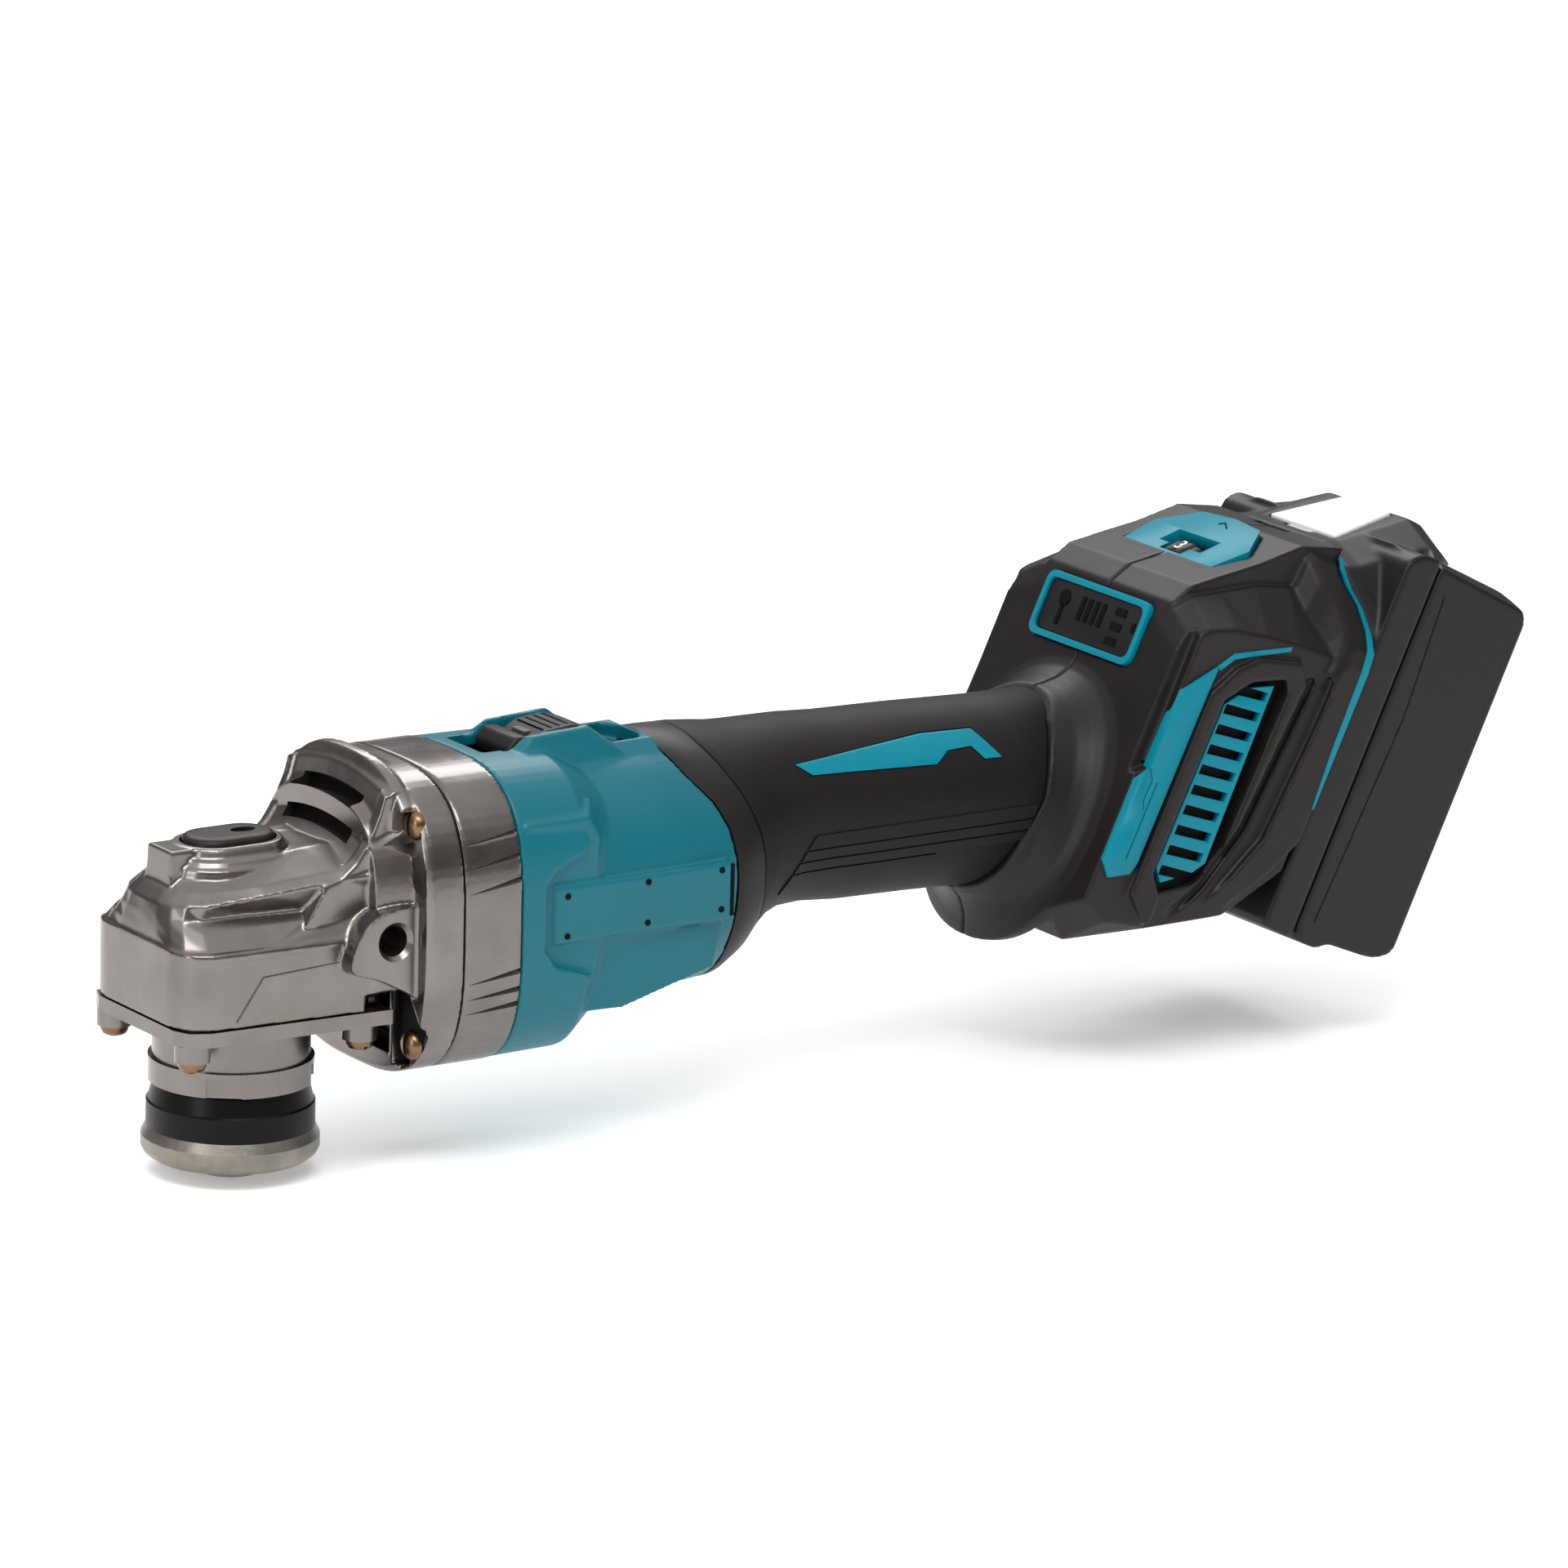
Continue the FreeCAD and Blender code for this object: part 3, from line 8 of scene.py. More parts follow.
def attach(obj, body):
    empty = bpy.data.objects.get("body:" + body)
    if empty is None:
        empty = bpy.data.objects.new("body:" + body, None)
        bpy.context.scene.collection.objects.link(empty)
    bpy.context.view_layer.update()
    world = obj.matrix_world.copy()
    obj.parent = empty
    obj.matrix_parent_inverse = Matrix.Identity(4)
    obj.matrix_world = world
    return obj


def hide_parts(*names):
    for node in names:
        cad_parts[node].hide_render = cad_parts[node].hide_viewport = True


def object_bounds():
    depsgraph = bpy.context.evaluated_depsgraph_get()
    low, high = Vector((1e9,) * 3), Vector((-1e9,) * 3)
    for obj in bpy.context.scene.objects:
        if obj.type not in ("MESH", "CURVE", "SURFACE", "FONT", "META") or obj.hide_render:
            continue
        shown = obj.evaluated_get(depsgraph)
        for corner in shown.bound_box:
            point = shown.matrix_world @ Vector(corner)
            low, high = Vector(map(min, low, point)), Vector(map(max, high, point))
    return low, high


# Cordless angle grinder.  Shapes are drawn in millimetres in the CAD frame and scaled to metres once.
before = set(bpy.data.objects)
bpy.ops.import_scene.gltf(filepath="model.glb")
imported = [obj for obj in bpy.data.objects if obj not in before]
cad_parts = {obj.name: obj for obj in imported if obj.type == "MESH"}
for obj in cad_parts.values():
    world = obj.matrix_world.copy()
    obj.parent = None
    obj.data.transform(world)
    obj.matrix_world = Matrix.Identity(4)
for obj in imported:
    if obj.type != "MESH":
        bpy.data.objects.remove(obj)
CAD_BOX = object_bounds()
MM = 0.001

MOTOR_Z = 56.0
PACK_TILT = math.radians(24.8)
PACK_ORIGIN = Vector((243.9, 0.0, 37.0))
# Drawings of the rear housing and the battery use local x across the rails and local z along them.
PACK_FRAME = Matrix.Translation(PACK_ORIGIN) @ Matrix.Rotation(PACK_TILT, 4, "Y")
TO_PACK = PACK_FRAME.inverted()


# ---------------- mesh helpers
def solid(verts, faces):
    mesh = bpy.data.meshes.new("solid")
    mesh.from_pydata([Vector(v) for v in verts], [], faces)
    bm = bmesh.new()
    bm.from_mesh(mesh)
    bmesh.ops.recalc_face_normals(bm, faces=bm.faces)
    bm.to_mesh(mesh)
    bm.free()
    obj = bpy.data.objects.new("solid", mesh)
    bpy.context.scene.collection.objects.link(obj)
    return obj


def loft(rings):
    """Closed skin through rings that all have the same number of points."""
    count = len(rings[0])
    verts = [p for ring in rings for p in ring]
    faces = []
    for level in range(len(rings) - 1):
        for i in range(count):
            j = (i + 1) % count
            a = level * count
            b = a + count
            faces.append((a + i, a + j, b + j, b + i))
    faces.append(tuple(reversed(range(count))))
    faces.append(tuple(range((len(rings) - 1) * count, len(rings) * count)))
    return solid(verts, faces)


def across(*stations):
    """Skin through side-view outlines, each at its own place across the tool."""
    return loft([[(x, y, z) for x, z in outline] for y, outline in stations])


def prism_y(outline, y0, y1):
    return across((y0, outline), (y1, outline))


def side_prism(outline, side, y0, y1):
    """Prism on one side of the tool, always drawn towards +Y."""
    return prism_y(outline, *sorted((side * y0, side * y1)))


def sided(outline, y0, y1):
    return [side_prism(outline, side, y0, y1) for side in (-1, 1)]


def prism_z(outline, z0, z1):
    return loft([[(x, y, z) for x, y in outline] for z in (z0, z1)])


def prism_x(outline, x0, x1):
    return loft([[(x, y, z) for y, z in outline] for x in (x0, x1)])


def block(x0, x1, y0, y1, z0, z1):
    return prism_z([(x0, y0), (x1, y0), (x1, y1), (x0, y1)], z0, z1)


def circle(radius, count=48, start=0.0):
    turns = [start + 2 * math.pi * i / count for i in range(count)]
    return [(radius * math.cos(t), radius * math.sin(t)) for t in turns]


def rod(a, b, r0, r1=None, count=32):
    a, b = Vector(a), Vector(b)
    turn = (b - a).to_track_quat("Z", "Y")
    r1 = r0 if r1 is None else r1
    rings = []
    for centre, radius in ((a, r0), (b, r1)):
        rings.append([centre + turn @ Vector((u, v, 0)) for u, v in circle(radius, count)])
    return loft(rings)


def stadium(half_length, half_width, count=16):
    flat = half_length - half_width
    points = []
    for i in range(count + 1):
        t = -math.pi / 2 + math.pi * i / count
        points.append((flat + half_width * math.cos(t), half_width * math.sin(t)))
    for i in range(count + 1):
        t = math.pi / 2 + math.pi * i / count
        points.append((-flat + half_width * math.cos(t), half_width * math.sin(t)))
    return points


def rounded(points, radius, steps=4):
    """Outline with every corner replaced by a short arc-like curve."""
    result = []
    count = len(points)
    for i in range(count):
        p = Vector(points[i])
        before = Vector(points[i - 1]) - p
        after = Vector(points[(i + 1) % count]) - p
        reach = min(radius, before.length * 0.45, after.length * 0.45)
        a = p + before.normalized() * reach
        b = p + after.normalized() * reach
        for k in range(steps + 1):
            t = k / steps
            result.append(tuple((a.lerp(p, t)).lerp(p.lerp(b, t), t)))
    return result


def grown(points, distance):
    """Outline pushed outwards by a distance, corner by corner."""
    count = len(points)
    area = sum(points[i - 1][0] * points[i][1] - points[i][0] * points[i - 1][1] for i in range(count))
    turn = 1 if area > 0 else -1
    result = []
    for i in range(count):
        p = Vector(points[i])
        before = (p - Vector(points[i - 1])).normalized()
        after = (Vector(points[(i + 1) % count]) - p).normalized()
        normal_a = Vector((before.y, -before.x)) * turn
        normal_b = Vector((after.y, -after.x)) * turn
        corner = normal_a + normal_b
        reach = min(2.0, 2.0 / max(corner.length_squared, 0.5))
        result.append(tuple(p + corner * distance * reach))
    return result


def placed(obj, matrix):
    obj.data.transform(matrix)
    return obj


def mirrored(obj):
    copy = obj.copy()
    copy.data = obj.data.copy()
    bpy.context.scene.collection.objects.link(copy)
    copy.data.flip_normals()
    return placed(copy, Matrix.Scale(-1, 4, Vector((0, 1, 0))))


def join(objs):
    bm = bmesh.new()
    for obj in objs:
        bm.from_mesh(obj.data)
    mesh = bpy.data.meshes.new("joined")
    bm.to_mesh(mesh)
    bm.free()
    for obj in objs:
        bpy.data.objects.remove(obj)
    joined = bpy.data.objects.new("joined", mesh)
    bpy.context.scene.collection.objects.link(joined)
    return joined


def bake(obj):
    """Applies the modifiers of obj to its mesh."""
    graph = bpy.context.evaluated_depsgraph_get()
    mesh = bpy.data.meshes.new_from_object(obj.evaluated_get(graph))
    obj.modifiers.clear()
    obj.data = mesh
    return obj


def boolean(obj, operation, others):
    group = bpy.data.collections.new("operands")
    for other in others:
        group.objects.link(other)
    step = obj.modifiers.new("Boolean", "BOOLEAN")
    step.operation = operation
    step.operand_type = "COLLECTION"
    step.collection = group
    step.solver = "EXACT"
    step.use_self = operation == "UNION"
    bake(obj)
    for other in others:
        bpy.data.objects.remove(other)
    bpy.data.collections.remove(group)
    return obj


def union(objs):
    return boolean(objs[0], "UNION", objs[1:]) if len(objs) > 1 else objs[0]


def carve(obj, cutters):
    return boolean(obj, "DIFFERENCE", cutters)


def keep(obj, region):
    return boolean(obj, "INTERSECT", [region])


def moulded(obj, grain, passes):
    """Rounds every edge, as moulding or casting does: a fine remesh, then smoothing."""
    cells = obj.modifiers.new("Remesh", "REMESH")
    cells.mode = "VOXEL"
    cells.voxel_size = grain
    cells.use_smooth_shade = True
    ease = obj.modifiers.new("Smooth", "SMOOTH")
    ease.factor = 0.5
    ease.iterations = passes
    return bake(obj)


def bevelled(obj, width, segments=2, angle=30):
    edge = obj.modifiers.new("Bevel", "BEVEL")
    edge.width = width
    edge.segments = segments
    edge.limit_method = "ANGLE"
    edge.angle_limit = math.radians(angle)
    edge.harden_normals = False
    return bake(obj)


def shade(obj, angle=35):
    mesh = obj.data
    mesh.shade_smooth()
    mesh.set_sharp_from_angle(angle=math.radians(angle))


def piece(obj, name, body, material, stands_for=(), local=False, sharp=40):
    """Names a finished shape, scales it to metres, gives it a material and lets it ride on a body."""
    if local:
        placed(obj, PACK_FRAME)
    placed(obj, Matrix.Scale(MM, 4))
    obj.name = name
    obj.data.name = name
    obj.data.materials.clear()
    obj.data.materials.append(material)
    shade(obj, sharp)
    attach(obj, body)
    if stands_for:
        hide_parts(*stands_for)
    return obj


# ---------------- materials
def linear(red, green, blue):
    """Display colour 0-255 to the linear values that shaders use."""
    values = []
    for c in (red, green, blue):
        c /= 255.0
        values.append(c / 12.92 if c <= 0.04045 else ((c + 0.055) / 1.055) ** 2.4)
    return values


def surface(name, colour, spread, roughness, metallic=0.0, grain=900.0, bump=0.04, rough_spread=0.08,
            blotch=60.0, coat=0.0, specular=0.5):
    """Procedural surface of a display colour: slow colour drift, fine grain in the bump, uneven gloss."""
    material = bpy.data.materials.new(name)
    material.use_nodes = True
    nodes = material.node_tree.nodes
    links = material.node_tree.links
    shader = nodes["Principled BSDF"]
    shader.inputs["Metallic"].default_value = metallic
    shader.inputs["Coat Weight"].default_value = coat
    shader.inputs["Specular IOR Level"].default_value = specular
    place = nodes.new("ShaderNodeTexCoord")
    drift = nodes.new("ShaderNodeTexNoise")
    drift.inputs["Scale"].default_value = blotch
    drift.inputs["Detail"].default_value = 6.0
    links.new(place.outputs["Object"], drift.inputs["Vector"])
    ramp = nodes.new("ShaderNodeValToRGB")
    low = [c * (1 - spread) for c in linear(*colour)]
    high = [min(1.0, c * (1 + spread)) for c in linear(*colour)]
    ramp.color_ramp.elements[0].position = 0.3
    ramp.color_ramp.elements[1].position = 0.7
    ramp.color_ramp.elements[0].color = (*low, 1)
    ramp.color_ramp.elements[1].color = (*high, 1)
    links.new(drift.outputs["Fac"], ramp.inputs["Fac"])
    links.new(ramp.outputs["Color"], shader.inputs["Base Color"])
    gloss = nodes.new("ShaderNodeMapRange")
    gloss.inputs["To Min"].default_value = max(0.02, roughness - rough_spread)
    gloss.inputs["To Max"].default_value = roughness + rough_spread
    links.new(drift.outputs["Fac"], gloss.inputs["Value"])
    links.new(gloss.outputs["Result"], shader.inputs["Roughness"])
    fine = nodes.new("ShaderNodeTexNoise")
    fine.inputs["Scale"].default_value = grain
    fine.inputs["Detail"].default_value = 3.0
    links.new(place.outputs["Object"], fine.inputs["Vector"])
    relief = nodes.new("ShaderNodeBump")
    relief.inputs["Strength"].default_value = bump
    relief.inputs["Distance"].default_value = 0.0003
    links.new(fine.outputs["Fac"], relief.inputs["Height"])
    links.new(relief.outputs["Normal"], shader.inputs["Normal"])
    return material


CAST = surface("cast_alloy", (121, 116, 113), 0.12, 0.28, 0.95, 700, 0.07, 0.08, 90)
RING = surface("ring_alloy", (116, 111, 108), 0.12, 0.26, 0.95, 900, 0.07, 0.08, 120)
STEEL = surface("ground_steel", (160, 160, 160), 0.06, 0.25, 1.0, 1500, 0.05, 0.05, 80)
ZINC = surface("zinc_steel", (132, 127, 119), 0.22, 0.38, 0.9, 600, 0.25, 0.10, 140)
DARK_STEEL = surface("black_oxide", (6, 6, 7), 0.12, 0.36, 0.0, 1200, 0.06, 0.06, 90, specular=0.16)
SCREW = surface("bronzed_screw", (120, 96, 74), 0.15, 0.30, 1.0, 900, 0.06, 0.06, 200)
RUBBER = surface("nitrile_rubber", (30, 30, 30), 0.10, 0.6, 0.0, 900, 0.06)
BRONZE = surface("sintered_bronze", (170, 130, 80), 0.10, 0.4, 1.0, 900, 0.10)
COPPER = surface("enamelled_copper", (176, 98, 58), 0.10, 0.3, 1.0, 900, 0.06)
IRON = surface("lamination", (96, 96, 98), 0.10, 0.45, 0.9, 900, 0.12)
BOARD = surface("circuit_board", (28, 90, 58), 0.12, 0.35, 0.0, 900, 0.05)
CELL = surface("cell_sleeve", (40, 120, 140), 0.06, 0.35, 0.0, 900, 0.03)
LEAD = surface("lead_cover", (150, 40, 36), 0.08, 0.5, 0.0, 900, 0.04)
NYLON = surface("grey_nylon", (70, 70, 72), 0.08, 0.5, 0.0, 900, 0.06)
TEAL = surface("teal_nylon", (0, 99, 113), 0.05, 0.40, 0.0, 1600, 0.05, 0.05, 25, specular=0.35)
TEAL_TRIM = surface("teal_trim", (0, 124, 143), 0.05, 0.42, 0.0, 1600, 0.05, 0.05, 25, specular=0.2)
BLACK = surface("dark_nylon", (24, 20, 19), 0.07, 0.44, 0.0, 1500, 0.10, 0.06, 30, specular=0.28)
GRIP = surface("grip_rubber", (20, 17, 16), 0.10, 0.56, 0.0, 1100, 0.14, 0.06, 40, specular=0.22)
PACK = surface("pack_nylon", (22, 20, 21), 0.06, 0.44, 0.0, 1500, 0.08, 0.05, 30, specular=0.3)
SMOKED = surface("smoked_panel", (22, 22, 22), 0.06, 0.40, 0.0, 1500, 0.03, 0.04, 40, specular=0.3)
# Black for printed marks and thin dark parts; also painted shade, in sheets behind the hood's slots, in the
# side plates' slots and in the vent wells.
INK_AND_SHADE = surface("black_ink_and_shade", (6, 6, 6), 0.10, 0.6, 0.0, 1500, 0.02, specular=0.1)
WHITE = surface("white_mark", (235, 235, 235), 0.03, 0.5, 0.0, 1500, 0.02)
PALE = surface("pale_button", (236, 236, 236), 0.02, 0.45, 0.0, 1500, 0.03)

CAD_MATERIALS = {
    STEEL: ("spindle", "ring_gear", "pinion", "rotor_shaft", "shaft_lock_pin", "shaft_lock_spring",
            "switch_spring", "latch_spring", "spindle_circlip", "spindle_bearing_outer",
            "spindle_bearing_inner", "spindle_bearing_balls", "front_bearing_outer", "front_bearing_inner",
            "rear_bearing_outer", "rear_bearing_inner", "rotor_bearing_balls"),
    ZINC: ("lock_nut",),
    DARK_STEEL: ("inner_flange",),
    CAST: ("bearing_box",),
    SCREW: ("bearing_box_screws", "gear_housing_screws", "handle_screws"),
    RUBBER: ("dust_seal", "rear_bearing_sleeve"),
    BRONZE: ("needle_bush", "terminal_block", "battery_board"),
    COPPER: ("stator_windings",),
    IRON: ("stator_core", "rotor_core", "controller_module"),
    BOARD: ("hall_board",),
    CELL: ("battery_cells",),
    LEAD: ("motor_leads",),
    NYLON: ("fan", "fan_baffle", "microswitch", "switch_rod"),
}


def dress_cad_nodes():
    for material, names in CAD_MATERIALS.items():
        for name in names:
            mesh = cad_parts[name].data
            mesh.materials.clear()
            mesh.materials.append(material)


# ---------------- sections of the barrel
HEAD_POWER = 3.1


def section(x, centre_z, half_y, half_z, power=HEAD_POWER, count=96):
    """Superellipse across the tool: power 2 is round, HEAD_POWER is the head's rounded square."""
    ring = []
    for i in range(count):
        t = 2 * math.pi * i / count
        c, s = math.cos(t), math.sin(t)
        reach = (abs(c) ** power + abs(s) ** power) ** (-1 / power)
        ring.append((x, half_y * reach * c, centre_z + half_z * reach * s))
    return ring


def barrel(*stations):
    return loft([section(*station) for station in stations])


GRIP_LINE = ((100.0, 59.0, 30.0), (109.0, 59.2, 29.9), (118.0, 59.5, 29.4), (122.5, 60.6, 27.9),
             (127.0, 62.6, 25.4), (132.0, 64.5, 23.4), (138.0, 65.7, 22.2), (146.0, 65.9, 21.9),
             (156.0, 65.2, 22.0), (176.0, 64.8, 22.0), (198.0, 64.0, 22.0), (218.0, 63.8, 22.0))
SLEEVE_DEPTH = 1.8


def grip_tube(inset):
    return barrel(*[(x, z, r - inset, r - inset, 2.0) for x, z, r in GRIP_LINE])


BAND_FRONT = ((104.0, 95.0), (104.0, 87.0), (106.4, 82.0), (110.8, 76.5), (113.2, 71.0), (114.3, 64.0),
              (114.8, 45.0), (117.5, 20.0))
BAND_REAR = ((114.0, 95.0), (114.5, 87.0), (117.0, 81.5), (119.8, 75.5), (121.6, 70.0), (122.8, 64.0),
             (124.0, 45.0), (127.5, 20.0))
SLEEVE_REAR = ((219.0, 95.0), (215.0, 87.2), (209.0, 81.5), (206.5, 77.0), (205.0, 73.0), (202.8, 65.5),
               (197.0, 56.0), (192.5, 45.0), (189.0, 38.0))


def side_region(line, far_x, shift=0.0):
    outline = [(x + shift, z) for x, z in line]
    outline += [(far_x, line[-1][1]), (far_x, line[0][1])]
    return prism_y(outline, -60, 60)


# ---------------- gear head
def ring_of(half, heights):
    """Closed ring from its +Y half, front to rear, at the given heights."""
    right = [(x, y, z) for (x, y), z in zip(half, heights)]
    left = [(x, -y, z) for (x, y), z in zip(half, heights)]
    return right + left[:0:-1]


RIDGE = ((-24.2, 0), (-24.2, 8), (-24.1, 14.4), (-22.9, 18.4), (-18.5, 21.4), (-3, 22.9), (16, 24.0),
         (30, 25))
LEDGE = ((-23.8, 0), (-23.8, 7.4), (-23.2, 12.4), (-21.5, 15.5), (-17.6, 17.2), (-3, 18.6), (16, 21.2),
         (30, 23))
GROOVE = ((-23.3, 0), (-23.2, 6.6), (-22.3, 10.8), (-20.2, 13.4), (-16.6, 14.4), (-3, 15.8), (16, 18.6),
          (30, 21))
LIP = ((-22.6, 0), (-22.4, 5.6), (-21.3, 9.4), (-19.2, 12.8), (-15.8, 15.8), (-3, 18.8), (16, 21.6),
       (30, 23.6))
BROW = ((-20.4, 0), (-20.2, 4.6), (-19.0, 7.8), (-17.0, 10.6), (-14.2, 13.2), (-3, 16.6), (16, 19.6),
        (30, 21.8))
DECK = ((-16, 0), (-16, 2.6), (-15.4, 4.6), (-14, 6), (-12, 7), (-3, 8.0), (12, 9), (30, 10))


def head_top():
    """Ledge, groove, lip and crowned deck, as rings stacked upwards."""
    return loft([
        ring_of(RIDGE, [56.6] * 8),
        ring_of(LEDGE, (59.4, 59.4, 59.6, 60.2, 60.6, 61.0, 61.4, 61.6)),
        ring_of(GROOVE, (62.4, 62.4, 62.4, 62.6, 62.8, 63.0, 63.2, 63.4)),
        ring_of(LIP, (65.6, 65.6, 65.6, 65.8, 66.0, 67.6, 69.6, 70.8)),
        ring_of(BROW, (68.2, 68.2, 68.2, 68.4, 68.6, 69.6, 71.6, 72.8)),
        ring_of(DECK, (71.4, 71.4, 71.4, 71.6, 72.0, 73.0, 74.6, 76.0)),
    ])


BOSS_X = -1.5
BOSS_HALF = (13.2, 9.1)
BUTTON_HALF = (10.8, 6.8)


def boss_outline(half, grow):
    """Rounded outline centred on the shaft-lock button."""
    return [(BOSS_X + x, y) for x, y in stadium(half[0] + grow, half[1] + grow)]


def boss_stack(half, *stations):
    """Skin through that outline, grown by each station's first value at the height of its second."""
    return loft([[(x, y, z) for x, y in boss_outline(half, grow)] for grow, z in stations])


def head_boss():
    """Raised island round the lock button: a low skirt, a step and the wall, with a lug at its nose."""
    island = boss_stack(BOSS_HALF, (3.4, 69.0), (3.0, 72.2), (1.9, 73.0), (1.5, 73.9), (0.4, 74.4),
                        (0.0, 75.6), (-0.5, 76.6))
    lug = [[(front, -half, z), (front, half, z), (-8.0, half, z), (-8.0, -half, z)]
           for front, half, z in ((-19.6, 5.6, 67.0), (-18.9, 5.2, 76.4))]
    return [island, loft(lug)]


HOOD = ((10.0, 72.0), (15.0, 73.6), (19.0, 76.8), (22.4, 81.6), (24.8, 87.0), (26.0, 91.2))
HOOD_CROWN = ((27.6, 92.6), (34.0, 92.0))


def crown_drop(y, depth=3.6):
    """How far the hood's arch has come down at y."""
    return depth * (y / 21.0) ** 2


def hood_ring(y, inset, profile):
    return [(x + inset, y, z - crown_drop(y) - inset * 0.6) for x, z in profile]


def head_hood():
    """Arched ramp behind the boss, with a thin raised rim at each side of the slotted face."""
    rings = []
    for y in (-21.5, -20.0, -16.0, -10.0, -4.0, 4.0, 10.0, 16.0, 20.0, 21.5):
        rings.append(hood_ring(y, 0.8, HOOD + HOOD_CROWN) + [(34.0, y, 60.0), (6.0, y, 60.0)])
    parts = [loft(rings)]
    for side in (-1, 1):
        strip = []
        for y in (18.6, 19.2, 20.6, 21.4):
            behind = [(x + 3, side * y, z - crown_drop(y)) for x, z in HOOD[::-1]]
            strip.append(hood_ring(side * y, 0.1, HOOD) + behind)
        parts.append(loft(strip))
    return parts


SLOT_FALL = -0.28


def hood_slot(x, z, half_width):
    """Arched exhaust slot: follows the hood's crown from side to side and falls a little inwards."""
    c, s = math.cos(SLOT_FALL), math.sin(SLOT_FALL)
    rings = []
    for i in range(9):
        y = -half_width + 2 * half_width * i / 8
        middle = z - crown_drop(y, 3.4)
        rings.append([(x + u * c - v * s, y, middle + u * s + v * c)
                      for u, v in ((-8, -1.7), (6, -1.7), (6, 1.7), (-8, 1.7))])
    return loft(rings)


LOWER_PLAN = ((-24.45, -15.2), (-24.45, 15.2), (-22.6, 20.0), (-17.5, 22.5), (0.0, 23.2), (27.0, 24.4),
              (27.0, -24.4), (0.0, -23.2), (-17.5, -22.5), (-22.6, -20.0))
SCREW_POCKET = ((22.6, 84.6), (25.4, 84.0), (28.6, 80.0), (31.4, 72.0), (32.0, 66.5), (29.6, 63.5),
                (26.8, 67.5), (25.6, 74.0), (22.6, 76.5))
# Outline of the black sheet that darkens each low pocket.
POCKET_DARK_SHEET = ((19.8, 27.4), (19.8, 41.6), (24.3, 43.0), (29.8, 35.2), (28.4, 32.4), (25.4, 28.2))
LOW_POCKET = ((19.5, 24.0), (19.5, 42.0), (24.5, 43.5), (30.6, 35.0), (30.6, 28.0), (27.5, 24.5))


def flange_block():
    return barrel((30.6, MOTOR_Z, 32.2, 33.6), (32.0, MOTOR_Z, 33.5, 35.0), (39.8, MOTOR_Z, 33.5, 35.0))


def handle_lug():
    outline = [(13.0, 50.0), (15.0, 56.4), (17.6, 60.2), (21.0, 62.6), (26.0, 63.6), (39.0, 63.4),
               (39.0, 34.0), (36.5, 34.0), (34.5, 38.5), (30.2, 42.8), (21.0, 47.8)]
    return sided(rounded(outline, 3.0), 18.0, 28.6)


def flange_bead():
    """Raised lip along the top of the flange, proud of the ring behind it."""
    lip = barrel((27.6, MOTOR_Z, 29.5, 35.4, 2.7), (28.6, MOTOR_Z, 31.0, 37.6, 2.7),
                 (30.8, MOTOR_Z, 31.6, 37.9, 2.7), (33.0, MOTOR_Z, 32.0, 35.0, 2.9))
    return keep(lip, block(20, 45, -24.5, 24.5, 80, 100))


AIR_FACE = ((19.0, 66.0), (22.0, 74.2), (25.3, 79.6), (27.7, 84.6), (28.9, 88.0))


def head_room():
    """Gear room, pinion bore, slots' air room and the lock pin's bores."""
    air = prism_y(list(AIR_FACE) + [(36.0, 88.0), (36.0, 84.0), (45.0, 84.0), (45.0, 66.0)], -14.8, 14.8)
    return [rod((0, 0, 38.0), (0, 0, 57.5), 19.4, count=64), air, block(0, 41, -9, 9, 47, 65),
            rod((0, 0, 50), (0, 0, 69.0), 6.2), rod((-9, 0, 55), (-9, 0, 71.0), 3.5),
            block(28, 45, -17, 17, 27, 46)]


def gear_head():
    plan = rounded(LOWER_PLAN, 2.0, 3)
    lower = prism_z(plan, 39.5, 57.0)
    bead = prism_z([(x * 0.99, y * 1.012) for x, y in plan], 55.2, 56.4)
    throat = barrel((22.0, MOTOR_Z, 25.0, 29.0), (34.0, MOTOR_Z, 28.0, 31.0))
    throat = keep(throat, block(0, 60, -60, 60, 44, 100))
    body = union([lower, bead, head_top(), throat, flange_block(), flange_bead()] + head_hood() + head_boss()
                 + handle_lug())
    cutters = head_room()
    for side in (-1, 1):
        cutters.append(prism_x([(side * y, z) for y, z in LOW_POCKET], 20.0, 32.6))
        cutters.append(block(26.0, 36.5, side * 18.5, side * 22.4, 25.0, 43.0))
    body = moulded(carve(body, cutters), 0.42, 3)
    openings = [prism_z(boss_outline((11.4, 7.3), 0.0), 69.8, 80.0)]
    for side in (-1, 1):
        openings.append(prism_x([(side * y, z) for y, z in SCREW_POCKET], 20.0, 32.4))
        openings.append(rod((25.0, side * 14.0, MOTOR_Z), (25.0, side * 40.0, MOTOR_Z), 3.5))
        openings.append(rod((25.0, side * 27.4, MOTOR_Z), (25.0, side * 30.0, MOTOR_Z), 3.4, 5.8))
    openings += [hood_slot(25.0, 85.4, 12.8), hood_slot(21.6, 78.6, 14.0)]
    return piece(carve(body, openings), "gear_head_casting", "tool", CAST, ["gear_housing"])


def screw(centre, axis, radius, length):
    """Pan-head screw with a single slot; centre is the underside of its head."""
    axis = Vector(axis)
    centre = Vector(centre)
    profile = ((radius, 0.0), (radius, 0.9), (radius * 0.86, 1.9), (radius * 0.5, 2.5), (radius * 0.15, 2.65))
    turn = axis.to_track_quat("Z", "Y")
    rings = [[centre + turn @ Vector((u, v, h)) for u, v in circle(r, 40)] for r, h in profile]
    head = loft(rings)
    slot = placed(block(-0.45, 0.45, -radius, radius, 1.3, 4.0),
                  Matrix.Translation(centre) @ turn.to_matrix().to_4x4())
    shank = rod(centre + axis * 0.4, centre - axis * length, 1.9, count=24)
    return union([carve(head, [slot]), shank])


